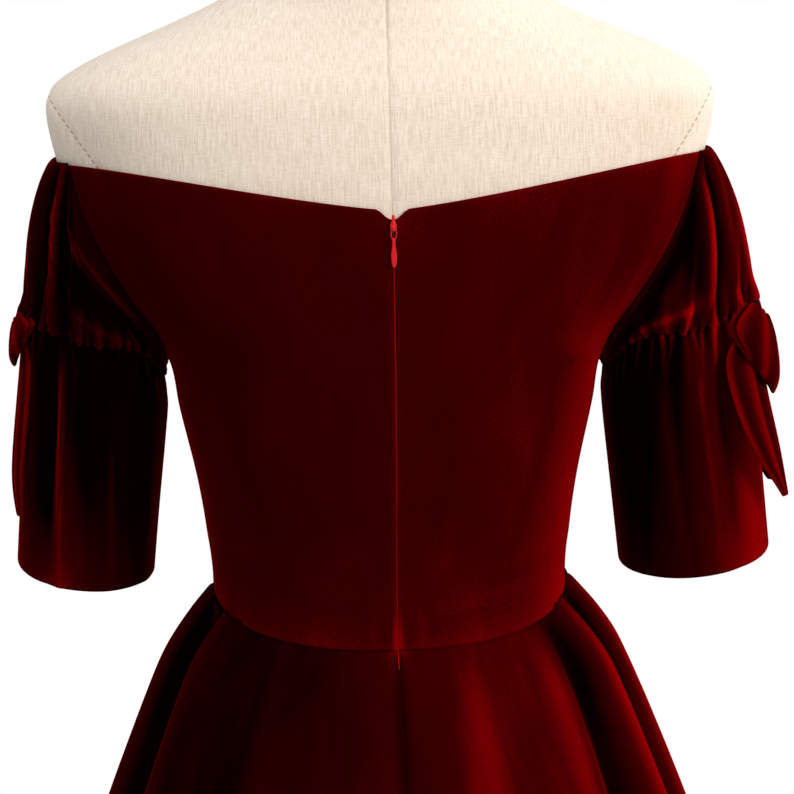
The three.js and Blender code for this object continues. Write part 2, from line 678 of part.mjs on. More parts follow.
/** The centre-back zip: a coil between the panels' edges, a slider with its bail, and the pull. */
function addZip() {
  const waist = backWaist.centre - seamGap;
  const foot = waist - zip.tail;
  const coil = (lift) => (across, up) => {
    const height = foot + (zip.coilTop - foot) * up;
    const point = onForm(quarter, Math.max(height, waist), rest + lift);
    const out = rowAt(flare, 'drop', Math.max(waist - height, 0)).out;
    return point.set((across - 0.5) * zip.width, point.y + out, height);
  };
  addMesh('zip_coil', panel(coil(1.3), coil(0.2), 2, 12), zipTape);

  const near = onForm(quarter, zip.top, rest + cloth).y + zip.offCloth;
  const body = plate(sliderOutline, null, slider.thick).translate(0, near + slider.thick / 2, zip.top);
  const axisY = near + slider.thick + slider.bailAbove + pull.thick / 2;
  const bail = plate(bailOutline, bailEye, slider.bailWide)
    .rotateX(-quarter)
    .applyMatrix4(new THREE.Matrix4().makeBasis(
      new THREE.Vector3(0, 0, 1),
      new THREE.Vector3(0, 1, 0),
      new THREE.Vector3(-1, 0, 0),
    ))
    .translate(0, axisY, zip.top);
  addMesh('zip_slider', geometryOf(solidOf(body).add(solidOf(bail))), enamel);

  const eye = [
    [-pull.eyeHalf, -pull.bar],
    [pull.eyeHalf, -pull.bar],
    [pull.eyeHalf, -pull.bar - pull.eyeLength],
    [-pull.eyeHalf, -pull.bar - pull.eyeLength],
  ];
  const tab = plate(pullOutline(), eye, pull.thick).translate(0, axisY, zip.top);
  addMesh('zip_pull', tab, enamel);
}

addFormAndStand();
addBodice();
addSkirt();
addSleeves();
addBows();
addZip();

export default model;
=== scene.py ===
import json
import math

import bpy
import numpy as np
from mathutils import Matrix, Vector

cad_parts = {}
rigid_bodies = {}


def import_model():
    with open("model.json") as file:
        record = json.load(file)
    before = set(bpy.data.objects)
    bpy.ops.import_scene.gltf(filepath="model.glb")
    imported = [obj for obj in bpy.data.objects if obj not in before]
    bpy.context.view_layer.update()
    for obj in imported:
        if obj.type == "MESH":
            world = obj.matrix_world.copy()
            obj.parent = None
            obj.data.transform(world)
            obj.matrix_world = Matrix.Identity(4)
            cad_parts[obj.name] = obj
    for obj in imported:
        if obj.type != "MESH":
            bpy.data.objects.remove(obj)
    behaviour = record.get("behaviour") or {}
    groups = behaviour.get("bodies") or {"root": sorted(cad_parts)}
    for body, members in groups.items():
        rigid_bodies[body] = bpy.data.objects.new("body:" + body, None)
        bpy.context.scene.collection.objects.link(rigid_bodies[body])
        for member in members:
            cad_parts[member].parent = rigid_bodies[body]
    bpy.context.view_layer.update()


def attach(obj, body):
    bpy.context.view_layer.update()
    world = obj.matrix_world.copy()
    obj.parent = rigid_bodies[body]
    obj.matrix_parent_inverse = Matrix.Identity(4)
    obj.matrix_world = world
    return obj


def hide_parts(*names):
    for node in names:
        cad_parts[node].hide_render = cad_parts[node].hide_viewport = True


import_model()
bpy.ops.object.select_all(action="DESELECT")

# ---------------------------------------------------------------------------
# The dress form: a limbless women's form, a padded shell under a tightly stretched cover of
# cream slubbed linen, sewn down the middle and round the arm plates.
MM = 0.001
BODY = "dress_on_form"
SEAM_WIDTH = 1.5
SEAM_DEPTH = 1.1
FORM_FOOT = 760
PLATE_HEIGHT = 1296
FORM_TOP = 1494.0

# height, half the width, depth in front, depth behind, squareness (2 is an ellipse), in mm
FORM_SECTIONS = np.array([
    (760, 146, 98, 104, 2.2),
    (800, 162, 107, 115, 2.2),
    (850, 164, 110, 117, 2.2),
    (900, 153, 107, 107, 2.2),
    (950, 136, 99, 91, 2.2),
    (1000, 116, 91, 77, 2.2),
    (1030, 112.5, 87, 76, 2.2),
    (1065, 116, 89, 81, 2.2),
    (1100, 121.5, 99, 90, 2.2),
    (1145, 131.5, 117, 97, 2.2),
    (1175, 137, 123, 100, 2.3),
    (1195, 149, 119, 101, 2.4),
    (1220, 170, 111, 102, 2.5),
    (1245, 188, 104, 102, 2.5),
    (1272, 201, 98, 101, 2.5),
    (1300, 207, 95, 100, 2.5),
    (1337, 214, 90, 95, 2.5),
    (1353, 209, 85, 91, 2.4),
    (1366, 190, 79, 86, 2.3),
    (1379, 162, 72, 81, 2.2),
    (1392, 131, 64, 77, 2.1),
    (1405, 103, 57, 74, 2),
    (1422, 75, 50, 71, 2),
    (1445, 59, 45, 69, 2),
    (1494, 54, 42, 66, 2),
])


def read_table(table, column, at):
    """One column of a table at any value of its first, on a smooth curve through the rows."""
    keys, values = table[:, 0], table[:, column]
    at = np.clip(at, keys[0], keys[-1])
    i = np.clip(np.searchsorted(keys, at, side="left") - 1, 0, len(keys) - 2)
    before, after = np.maximum(i - 1, 0), np.minimum(i + 2, len(keys) - 1)
    span = keys[i + 1] - keys[i]
    t = (at - keys[i]) / span
    slope_in = (values[i + 1] - values[before]) / (keys[i + 1] - keys[before])
    slope_out = (values[after] - values[i]) / (keys[after] - keys[i])
    return (
        values[i] * (1 + 2 * t) * (1 - t) ** 2
        + slope_in * span * t * (1 - t) ** 2
        + values[i + 1] * t**2 * (3 - 2 * t)
        - slope_out * span * t**2 * (1 - t)
    )


def form_surface(turn, height):
    """The form's skin: turn runs from the wearer's left side by way of the back."""
    half, front, behind, square = (read_table(FORM_SECTIONS, c, height) for c in (1, 2, 3, 4))
    depth = np.where(np.sin(turn) > 0, behind, front)
    x = half * np.sign(np.cos(turn)) * np.abs(np.cos(turn)) ** (2 / square)
    y = depth * np.sign(np.sin(turn)) * np.abs(np.sin(turn)) ** (2 / square)
    return np.stack([x, y, height + 0 * x], -1)


def lifted(surface, u, v, lift):
    """Points of a surface moved along its own normal."""
    step = 1e-3
    along = surface(u + step, v) - surface(u - step, v)
    across = surface(u, v + step) - surface(u, v - step)
    normal = np.cross(along, across)
    normal /= np.linalg.norm(normal, axis=-1, keepdims=True)
    return surface(u, v) + normal * np.asarray(lift)[..., None]


def on_form(turn, height, lift):
    return lifted(form_surface, turn, height, lift)


def bell(distance, width):
    return np.exp(-((distance / width) ** 2))


def add_mesh(name, points, faces, corners, pile_and_painted_light=None):
    """A mesh object from points in mm and its faces, with a UV map in metres of cloth."""
    a, b, c = (points[faces[:, k]] for k in range(3))
    if np.einsum("ij,ij->", a, np.cross(b, c)) + np.einsum(
        "ij,ij->", a, np.cross(c, points[faces[:, 3]])
    ) < 0:
        faces, corners = faces[:, ::-1], corners[:, ::-1]
    mesh = bpy.data.meshes.new(name)
    mesh.from_pydata((points * MM).tolist(), [], [list(dict.fromkeys(f)) for f in faces.tolist()])
    layer = mesh.uv_layers.new(name="UVMap")
    layer.data.foreach_set("uv", (corners.reshape(-1, 2) * MM).ravel())
    mesh.polygons.foreach_set("use_smooth", [True] * len(mesh.polygons))
    if pile_and_painted_light is not None:
        mesh.attributes.new("pile_and_painted_light", "FLOAT", "POINT").data.foreach_set("value", pile_and_painted_light)
    piece = bpy.data.objects.new(name, mesh)
    bpy.context.scene.collection.objects.link(piece)
    return piece


def grid_faces(index):
    """The four corners of each cell of a grid of numbers, or of places."""
    cells = [index[:-1, :-1], index[:-1, 1:], index[1:, 1:], index[1:, :-1]]
    return np.stack([c.reshape(-1, *index.shape[2:]) for c in cells], 1)


def finish_piece(piece, material, nodes, body=BODY):
    """Gives a piece its material and says which nodes it stands for and what it moves with."""
    piece.data.materials.clear()
    piece.data.materials.append(material)
    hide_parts(*nodes)
    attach(piece, body)
    return piece


def srgb(colour):
    """A colour written as sRGB hex, turned to linear."""
    parts = [int(colour[i:i + 2], 16) / 255 for i in (1, 3, 5)]
    return (*[c / 12.92 if c <= 0.04045 else ((c + 0.055) / 1.055) ** 2.4 for c in parts], 1)


def add_node(material, kind, sockets, **settings):
    """Adds a node. A socket that is given another node's output is linked, any other is set."""
    made = material.node_tree.nodes.new(kind)
    for name, value in settings.items():
        setattr(made, name, value)
    for name, value in sockets.items():
        if isinstance(value, bpy.types.NodeSocket):
            material.node_tree.links.new(value, made.inputs[name])
        else:
            made.inputs[name].default_value = value
    return made


def new_material(name):
    material = bpy.data.materials.new(name)
    material.use_nodes = True
    material.node_tree.nodes.clear()
    return material


# The sewn line round each arm plate: how far out it is at its height, how far it leans out as
# it rises, the length of its normal and the height at which it starts, in mm.
ARM_SEAM = dict(out=178, height=1300, lean=0.72, normal=1.23, start=1230)
STITCH = 3.6 * MM
STITCH_HALF_WIDTH = 0.7 * MM

# Slubbed linen, plain woven and stretched: matt, with uneven threads of about 0.6 mm that run
# down the form and a few thicker, browner slubs. Drawn at 1.2 mm so that they just show.
linen = new_material("slubbed_linen")
uv = add_node(linen, "ShaderNodeUVMap", {}, uv_map="UVMap").outputs["UV"]

# warp, weft and slubs: how many there are to a metre, across and along, detail, roughness
thread_noises = []
for scale, detail, roughness in [
    ((900, 60), 3.0, 0.7), ((140, 1000), 2.0, 0.5), ((520, 40), 3.0, 0.8),
]:
    drawn = add_node(linen, "ShaderNodeMapping", {"Vector": uv, "Scale": (*scale, 1)})
    thread_noises.append(add_node(linen, "ShaderNodeTexNoise", {
        "Vector": drawn.outputs["Vector"], "Scale": 1.0, "Detail": detail, "Roughness": roughness,
    }).outputs["Fac"])
warp, weft, slub = thread_noises
threads = add_node(linen, "ShaderNodeMix", {
    "Factor": 0.28, "A": warp, "B": weft,
}, data_type="FLOAT").outputs["Result"]
thread_ramp = add_node(linen, "ShaderNodeValToRGB", {"Fac": threads})
for stop, position, colour in zip(
    thread_ramp.color_ramp.elements, (0.3, 0.62), ("#cbbba8", "#e9ddd0"),
):
    stop.position, stop.color = position, srgb(colour)
slub_ramp = add_node(linen, "ShaderNodeMapRange", {
    "Value": slub, "From Min": 0.62, "From Max": 0.75, "To Max": 0.6,
}).outputs["Result"]
slubbed = add_node(linen, "ShaderNodeMix", {
    "Factor": slub_ramp, "A": thread_ramp.outputs["Color"], "B": srgb("#a98e72"),
}, data_type="RGBA").outputs["Result"]
place = add_node(linen, "ShaderNodeTexCoord", {}).outputs["Object"]
axes = add_node(linen, "ShaderNodeSeparateXYZ", {"Vector": place}).outputs

# The browner sewn lines, step by step: a result, its operation, and what goes into it, which
# is a number or an earlier result. The arm plates' line is stitched, the middle one is not.
steps = {"x": axes["X"], "z": axes["Z"]}
for result, operation, first, second in [
    ("beside", "ABSOLUTE", "x", 0.0),
    ("risen", "SUBTRACT", "z", ARM_SEAM["height"] * MM),
    ("slope", "MULTIPLY", "risen", ARM_SEAM["lean"]),
    ("further_out", "SUBTRACT", "beside", ARM_SEAM["out"] * MM),
    ("from_seam", "SUBTRACT", "further_out", "slope"),
    ("distance", "ABSOLUTE", "from_seam", 0.0),
    ("on_seam", "LESS_THAN", "distance", STITCH_HALF_WIDTH),
    ("along_stitch", "MODULO", "z", STITCH),
    ("on_stitch", "LESS_THAN", "along_stitch", STITCH * 0.6),
    ("above_start", "GREATER_THAN", "z", ARM_SEAM["start"] * MM),
    ("stitches", "MULTIPLY", "on_seam", "on_stitch"),
    ("arm_seam", "MULTIPLY", "stitches", "above_start"),
    ("on_middle", "LESS_THAN", "beside", STITCH_HALF_WIDTH),
    ("middle_seam", "MULTIPLY", "on_middle", 0.5),
    ("sewn", "MAXIMUM", "arm_seam", "middle_seam"),
    ("browned", "MULTIPLY", "sewn", 0.5),
]:
    steps[result] = add_node(linen, "ShaderNodeMath", {
        0: steps.get(first, first), 1: steps.get(second, second),
    }, operation=operation).outputs["Value"]
linen_colour = add_node(linen, "ShaderNodeMix", {
    "Factor": steps["browned"], "A": slubbed, "B": srgb("#6b5a48"),
}, data_type="RGBA")
linen_bump = add_node(linen, "ShaderNodeBump", {
    "Height": threads, "Strength": 0.3, "Distance": 0.0005,
})
linen_surface = add_node(linen, "ShaderNodeBsdfPrincipled", {
    "Base Color": linen_colour.outputs["Result"],
    "Normal": linen_bump.outputs["Normal"],
    "Roughness": 0.88,
    "IOR": 1.5,
    "Specular IOR Level": 0.2,
    "Sheen Weight": 0.1,
    "Sheen Roughness": 0.5,
})
add_node(linen, "ShaderNodeOutputMaterial", {"Surface": linen_surface.outputs["BSDF"]})


def add_torso():
    """The cover from the form's underside to its neck, with a groove along each sewn line."""
    near_seam = np.radians([-1.6, -1.1, -0.75, -0.5, -0.25, 0, 0.25, 0.5, 0.75, 1.1, 1.6])
    turns = np.linspace(0, 2 * np.pi, 289)[:-1]
    for seam in (np.pi / 2, 3 * np.pi / 2):
        turns = turns[np.abs(turns - seam) > np.radians(2)]
        turns = np.concatenate([turns, seam + near_seam])
    turns = np.sort(turns)
    heights = np.concatenate([
        np.arange(FORM_FOOT, PLATE_HEIGHT, 6), np.arange(PLATE_HEIGHT, FORM_TOP, 2.5), [FORM_TOP],
    ])
    turn, height = np.meshgrid(turns, heights)
    skin = on_form(turn, height, -0.1)
    middle = bell(skin[..., 0], SEAM_WIDTH * 0.7)
    plate = np.abs(skin[..., 0]) - ARM_SEAM["out"]
    plate = (plate - ARM_SEAM["lean"] * (skin[..., 2] - ARM_SEAM["height"])) / ARM_SEAM["normal"]
    arm_plate = bell(plate, SEAM_WIDTH) * (skin[..., 2] > ARM_SEAM["start"]) * 0.7
    skin = on_form(turn, height, -0.1 - SEAM_DEPTH * np.maximum(middle, arm_plate))
    skin[..., 2] = height
    for inward in (0.93, 0.6, 0.02):
        skin = np.concatenate([skin[:1] * (inward, inward, 1), skin])
        skin = np.concatenate([skin, skin[-1:] * (inward, inward, 1)])
    rows, columns = skin.shape[:2]
    index = np.arange(rows * columns).reshape(rows, columns)
    index = np.concatenate([index, index[:, :1]], 1)
    closed = np.concatenate([skin, skin[:, :1]], 1)
    step = np.linalg.norm(np.diff(closed, axis=1), axis=-1)
    around = np.concatenate([0 * step[:, :1], np.cumsum(step, 1)], 1)
    up = np.concatenate([[0], np.cumsum(np.linalg.norm(np.diff(skin[:, 0], axis=0), axis=-1))])
    up = np.repeat(up[:, None], columns + 1, 1)
    middles = [np.abs(turns - centre).argmin() for centre in (np.pi / 2, 3 * np.pi / 2)]
    cut = [np.stack([around - around[:, m:m + 1], up], -1) for m in middles]
    side = np.abs(turns - np.pi).argmin()
    corners = np.concatenate([
        grid_faces(cut[0][:, :side + 1]).reshape(rows - 1, side, 4, 2),
        grid_faces(cut[1][:, side:]).reshape(rows - 1, columns - side, 4, 2),
    ], 1).reshape(-1, 4, 2)
    return add_mesh("form_torso_linen", skin.reshape(-1, 3), grid_faces(index), corners)


torso = add_torso()
bpy.context.view_layer.objects.active = torso
torso.select_set(True)
bpy.ops.object.mode_set(mode="EDIT")
bpy.ops.mesh.select_all(action="DESELECT")
bpy.ops.mesh.select_mode(type="EDGE")
bpy.ops.mesh.select_non_manifold()
bpy.ops.mesh.edge_face_add()
bpy.ops.mesh.select_all(action="SELECT")
bpy.ops.mesh.fill_holes(sides=0)
bpy.ops.object.mode_set(mode="OBJECT")
torso.select_set(False)
finish_piece(torso, linen, ["form_torso"])

# ---------------------------------------------------------------------------
# The neck cap: beech, turned in one piece with a small finial and varnished. It closes the
# form's neck.
NECK_CENTRE = 12
TURNED_SIDES = 96


def round_edges(piece, width, sharp, smooth):
    """Bevels edges sharper than one angle, and shades the piece smooth up to another."""
    bevel = piece.modifiers.new("rounding", "BEVEL")
    bevel.width = width * MM
    bevel.segments = 3
    bevel.limit_method = "ANGLE"
    bevel.angle_limit = math.radians(sharp)
    bpy.ops.object.modifier_apply(modifier="rounding")
    bpy.ops.object.shade_smooth_by_angle(angle=math.radians(smooth))
    piece.select_set(False)
    return piece


def turned_piece(name, profile, centre, rounding):
    """Turns an outline of (radius, height) steps: a ring is extruded and resized step by step."""
    bpy.ops.object.select_all(action="DESELECT")
    (radius, height), *rest = profile
    bpy.ops.mesh.primitive_circle_add(
        vertices=TURNED_SIDES, radius=radius * MM, location=(0, centre * MM, height * MM)
    )
    piece = bpy.context.active_object
    piece.name = name
    bpy.ops.object.mode_set(mode="EDIT")
    bpy.ops.mesh.select_all(action="SELECT")
    for to_radius, to_height in rest:
        bpy.ops.mesh.extrude_region_move(
            TRANSFORM_OT_translate={"value": (0, 0, (to_height - height) * MM)}
        )
        grow = to_radius / radius
        bpy.ops.transform.resize(
            value=(grow, grow, 1), center_override=(0, centre * MM, to_height * MM)
        )
        radius, height = to_radius, to_height
    bpy.ops.mesh.select_all(action="SELECT")
    bpy.ops.mesh.fill_holes(sides=0)
    bpy.ops.mesh.select_all(action="SELECT")
    bpy.ops.mesh.normals_make_consistent(inside=False)
    bpy.ops.object.mode_set(mode="OBJECT")
    bpy.ops.object.transform_apply(location=True, rotation=True, scale=True)
    return round_edges(piece, rounding, 25, 35)


# Beech, turned and varnished: pinkish tan with fine short flecks along the grain, half gloss.
beech = new_material("varnished_beech")
place = add_node(beech, "ShaderNodeTexCoord", {}).outputs["Object"]
grain_scale = add_node(beech, "ShaderNodeMapping", {"Vector": place, "Scale": (400, 30, 400)})
grain = add_node(beech, "ShaderNodeTexNoise", {
    "Vector": grain_scale.outputs["Vector"], "Scale": 1.0, "Detail": 4.0, "Roughness": 0.55,
})
grain_ramp = add_node(beech, "ShaderNodeValToRGB", {"Fac": grain.outputs["Fac"]})
for stop, position, colour in zip(
    grain_ramp.color_ramp.elements, (0.35, 0.65), ("#a9784a", "#c99e6e"),
):
    stop.position, stop.color = position, srgb(colour)
beech_bump = add_node(beech, "ShaderNodeBump", {
    "Height": grain.outputs["Fac"], "Strength": 0.1, "Distance": 0.0003,
})
beech_surface = add_node(beech, "ShaderNodeBsdfPrincipled", {
    "Base Color": grain_ramp.outputs["Color"],
    "Normal": beech_bump.outputs["Normal"],
    "Roughness": 0.42,
    "IOR": 1.5,
    "Coat Weight": 0.5,
    "Coat Roughness": 0.15,
})
add_node(beech, "ShaderNodeOutputMaterial", {"Surface": beech_surface.outputs["BSDF"]})

cap = turned_piece("neck_cap_beech", [
    (44, 1494.3), (52, 1499), (52, 1506), (49, 1510.5), (38, 1512.6), (16, 1513.4), (10, 1516),
    (9, 1519), (9.6, 1522), (13, 1525.5), (15, 1530), (14.4, 1535), (11, 1538.5), (5, 1540),
], NECK_CENTRE, 0.8)
finish_piece(cap, beech, ["neck_cap"])

# ---------------------------------------------------------------------------
# The stand: a steel flange under the form, a round steel pole and a weighted base with a
# collar, all in black satin enamel.

# Enamel on steel, sprayed and baked: black, satin, with a very slight orange peel of 1 to 2 mm.
satin_enamel = new_material("black_satin_enamel")
place = add_node(satin_enamel, "ShaderNodeTexCoord", {}).outputs["Object"]
peel = add_node(satin_enamel, "ShaderNodeTexNoise", {
    "Vector": place, "Scale": 600.0, "Detail": 2.0,
})
peel_bump = add_node(satin_enamel, "ShaderNodeBump", {
    "Height": peel.outputs["Fac"], "Strength": 0.15, "Distance": 0.0002,
})
wear = add_node(satin_enamel, "ShaderNodeTexNoise", {"Vector": place, "Scale": 14.0, "Detail": 5.0})
wear_ramp = add_node(satin_enamel, "ShaderNodeMapRange", {
    "Value": wear.outputs["Fac"], "To Min": 0.32, "To Max": 0.5,
})
enamel_surface = add_node(satin_enamel, "ShaderNodeBsdfPrincipled", {
    "Base Color": srgb("#1c1c1e"),
    "Normal": peel_bump.outputs["Normal"],
    "Roughness": wear_ramp.outputs["Result"],
    "IOR": 1.5,
})
add_node(satin_enamel, "ShaderNodeOutputMaterial", {"Surface": enamel_surface.outputs["BSDF"]})

STAND_PIECES = [
    ("stand_flange_enamel", "stand_flange", 1.0, [
        (17.5, 725.7), (17.5, 753.7), (45, 753.7), (45, 759.7),
    ]),
    ("stand_pole_enamel", "stand_pole", 0.4, [(12.5, 42.3), (12.5, 725.4)]),
    ("stand_base_enamel", "stand_base", 1.2, [
        (168, 0), (170.5, 0.4), (172, 3), (170.5, 6.5), (167, 8.2), (120, 10.8), (54, 13),
        (30, 16), (25, 19), (24, 24), (24, 38), (20, 42),
    ]),
]
for name, node_name, rounding, profile in STAND_PIECES:
    piece = turned_piece(name, profile, 0, rounding)
    finish_piece(piece, satin_enamel, [node_name])

# ---------------------------------------------------------------------------
# The bodice: five panels of pile velvet on a close backing, two backs that meet at the zip, a
# front centre and two side fronts. Raw edges are turned under, so each seam is a soft rounded
# groove and the neckline a soft fold.
CLOTH = 2.0
REST = 0.6
UNDERARM = 1178
BACK_NECK = (1277, 28)
FRONT_NECK = (1262, 43)
BACK_WAIST = (995.5, 32.5)
FRONT_WAIST = (1012, 16)
PRINCESS_SEAM = 0.46
SEAM_SHARE = 0.001
BACK_WIDTH = 170
ZIP_SLIT = 0.45
ZIP_NOTCH = 5.5
SEAM_EDGE = 4.0
EDGE_ROUNDING = 1.8

# height, how far the armhole seam stands behind or before the side of the form
ARMHOLE = np.array([
    (1178, 0), (1184, 24), (1196, 40), (1229, 49), (1266, 49), (1304, 43),
])

# Silk-like pile velvet, woven double and cut: a dense upright pile about 1 mm long. Its
# colour is painted light and shade, set for each place on the mesh: nearly black painted
# shade in the hollows of folds, at gathers and on the sides away from the light, a clear red
# painted highlight along ridges, creases and edges. At a grazing angle the fibre tips shine.
# Faint patches, up to 30 mm wide and 90 mm long, show where it has been brushed, and a grain
# of 1 mm shows the tips of its tufts.
velvet = new_material("pile_velvet")
uv = add_node(velvet, "ShaderNodeUVMap", {}, uv_map="UVMap").outputs["UV"]
pile_and_painted_light = add_node(velvet, "ShaderNodeTexNoise", {
    "Vector": uv, "Scale": 900.0, "Detail": 2.0, "Roughness": 0.6,
})
nap_scale = add_node(velvet, "ShaderNodeMapping", {"Vector": uv, "Scale": (34, 11, 1)})
nap_and_painted_shade = add_node(velvet, "ShaderNodeTexNoise", {
    "Vector": nap_scale.outputs["Vector"], "Scale": 1.0, "Detail": 4.0, "Roughness": 0.55,
    "Distortion": 0.4,
})
brushed, tips = [
    add_node(velvet, "ShaderNodeMapRange", {
        "Value": noise.outputs["Fac"], "From Min": 0.3, "From Max": 0.7,
        "To Min": -reach, "To Max": reach,
    }) for noise, reach in [(nap_and_painted_shade, 0.055), (pile_and_painted_light, 0.07)]
]
# The painted light and shade of each place, from 0 to 1, read from the mesh.
tone_and_painted_light = add_node(velvet, "ShaderNodeAttribute", {}, attribute_name="pile_and_painted_light")
swept = add_node(velvet, "ShaderNodeMath", {
    0: brushed.outputs["Result"], 1: tips.outputs["Result"],
}, operation="ADD")
velvet_tone_and_painted_light = add_node(velvet, "ShaderNodeMath", {
    0: tone_and_painted_light.outputs["Fac"], 1: swept.outputs["Value"],
}, operation="ADD")
# From painted shade, nearly black, through the velvet's own dark red to a painted highlight.
velvet_and_painted_light_ramp = add_node(velvet, "ShaderNodeValToRGB", {"Fac": velvet_tone_and_painted_light.outputs["Value"]})
velvet_and_painted_light_ramp.color_ramp.elements.new(0.45)
for stop, colour in zip(velvet_and_painted_light_ramp.color_ramp.elements, ("#030000", "#390001", "#980004")):
    stop.color = srgb(colour)
pile_height = add_node(velvet, "ShaderNodeMix", {
    "Factor": 0.3, "A": pile_and_painted_light.outputs["Fac"], "B": nap_and_painted_shade.outputs["Fac"],
}, data_type="FLOAT")
velvet_bump = add_node(velvet, "ShaderNodeBump", {
    "Height": pile_height.outputs["Result"], "Strength": 0.3, "Distance": 0.0005,
})
velvet_surface = add_node(velvet, "ShaderNodeBsdfPrincipled", {
    "Base Color": velvet_and_painted_light_ramp.outputs["Color"],
    "Normal": velvet_bump.outputs["Normal"],
    "Roughness": 0.9,
    "IOR": 1.5,
    "Specular IOR Level": 0.0,
    "Sheen Weight": 0.38,
    "Sheen Roughness": 0.3,
    "Sheen Tint": srgb("#f40308"),
})
add_node(velvet, "ShaderNodeOutputMaterial", {"Surface": velvet_surface.outputs["BSDF"]})


def cloth_shell(name, outer, inner, width, length, pile_and_painted_light=0.0, tube=False):
    """Joins an outer and an inner face into one closed piece of cloth. A tube's ends meet.
    The painted light and shade, given for each place, is 0 for the deepest painted shade and
    1 for the brightest painted highlight."""
    rows, columns = outer.shape[:2]
    index = np.arange(rows * columns).reshape(rows, columns)
    if tube:
        index = np.concatenate([index, index[:, :1]], 1)
    across = np.linspace(0, width, index.shape[1])
    up = np.linspace(0, length, rows)
    places = np.stack(np.meshgrid(across, up), -1)
    under = index + rows * columns
    faces, corners = [grid_faces(index), grid_faces(under)[:, ::-1]], [grid_faces(places)]
    corners.append(corners[0][:, ::-1])
    rims = [
        (index[::-1][:1], under[::-1][:1], places[::-1][:1]),
        (index[:1], under[:1], places[:1]),
    ]
    if not tube:
        rims.append((index[:, :1].T, under[:, :1].T, places[:, :1].swapaxes(0, 1)))
        rims.append((index[:, -1:].T, under[:, -1:].T, places[:, -1:].swapaxes(0, 1)))
    for k, (edge, below, place) in enumerate(rims):
        rim, rim_corner = np.concatenate([edge, below]), np.concatenate([place, place])
        turned = -1 if k in (1, 2) else 1
        faces.append(grid_faces(rim)[:, ::turned])
        corners.append(grid_faces(rim_corner)[:, ::turned])
    points = np.concatenate([outer.reshape(-1, 3), inner.reshape(-1, 3)])
    velvet_tone_and_painted_light = np.tile(np.broadcast_to(np.clip(pile_and_painted_light, 0, 1), outer.shape[:2]).ravel(), 2)
    return add_mesh(name, points, np.concatenate(faces), np.concatenate(corners), velvet_tone_and_painted_light)


def smooth_step(value, low, high):
    t = np.clip((value - low) / (high - low), 0, 1)
    return t * t * (3 - 2 * t)


def places_between_seams(length, spacing=3.0):
    """Places from 0 to 1 along a length in mm, closer together near both ends."""
    near = np.array([0, 0.25, 0.7, 1.3, 2.2, 3.4]) / length
    count = max(int(length / spacing), 4)
    middle = np.linspace(near[-1], 1 - near[-1], count)[1:-1]
    return np.concatenate([near, middle, 1 - near[::-1]])


def turned_under(place, length):
    """The share of its thickness that the cloth keeps as it turns under at both its edges."""
    inside = np.clip(np.minimum(place, 1 - place) * length / EDGE_ROUNDING, 0, 1)
    return np.sqrt(1 - (1 - inside) ** 2)


def edge_share(across, up, width, length):
    """The share of its thickness that a panel has at each place: a quarter at its very edges."""
    return 0.25 + 0.75 * (turned_under(across, width) * turned_under(up, length))


def edge_turn(height, behind):
    """The turn of the side seam, and above the underarm that of the armhole."""
    at = np.maximum(height, UNDERARM + 1e-6)
    reach = np.maximum(read_table(ARMHOLE, 1, at), 0)
    depth = read_table(FORM_SECTIONS, 3 if behind else 2, at)
    square = read_table(FORM_SECTIONS, 4, at)
    turn = np.arcsin(np.clip(reach / depth, 0, 1) ** (square / 2))
    return np.where(height <= UNDERARM, 0, turn)


def bodice_place(side, behind, from_centre, up, lift, slit):
    """A quarter of the bodice: from the centre line to the side, from the waist to the neck."""
    waist, neck = (BACK_WAIST, BACK_NECK) if behind else (FRONT_WAIST, FRONT_NECK)
    out = np.abs(from_centre)
    bottom = waist[0] + waist[1] * out**2
    top = neck[0] + neck[1] * np.sin(out * np.pi / 2)
    if behind:
        top = top - ZIP_NOTCH * (1 - smooth_step(out * BACK_WIDTH, 0.1, 3.4))
    height = bottom + (top - bottom) * up
    half = read_table(FORM_SECTIONS, 1, height)
    square = read_table(FORM_SECTIONS, 4, height)
    centre = np.arccos((slit / half) ** (square / 2)) if slit else np.pi / 2
    turn = centre + (edge_turn(height, behind) - centre) * out
    point = on_form(turn if behind else -turn, height, lift)
    point[..., 0] *= side * np.where(from_centre < 0, -1, 1)
    return point


# creases at the waist: where their middle is (x, height), how steep, how deep, how wide, in mm
BACK_CREASES = [
    (58, 1034, 0.2, 0.4, 34), (-52, 1022, -0.25, 0.4, 34),
    (84, 1052, 0.3, 0.4, 34), (-88, 1050, -0.3, 0.3, 34),
]
FRONT_CREASES = [(60, 1040, -0.2, 0.8, 30), (-60, 1036, 0.2, 0.8, 30)]


def bodice_creases(points, behind):
    """Soft creases in the bodice, in mm: the pull at the foot of the zip and at the waist."""
    x, z = points[..., 0], points[..., 2]
    lift = np.zeros_like(x)
    if behind:
        foot = bell(x, 20) * bell(z - 1000, 16)
        lift += foot * (0.9 * np.cos(np.abs(x) / 2.6) - 0.2)
    for at_x, at_z, lean, depth, wide in BACK_CREASES if behind else FRONT_CREASES:
        level = z - at_z - lean * (x - at_x)
        lift += depth * bell(x - at_x, wide) * (bell(level, 6) - 0.7 * bell(level + 11, 7))
    return lift


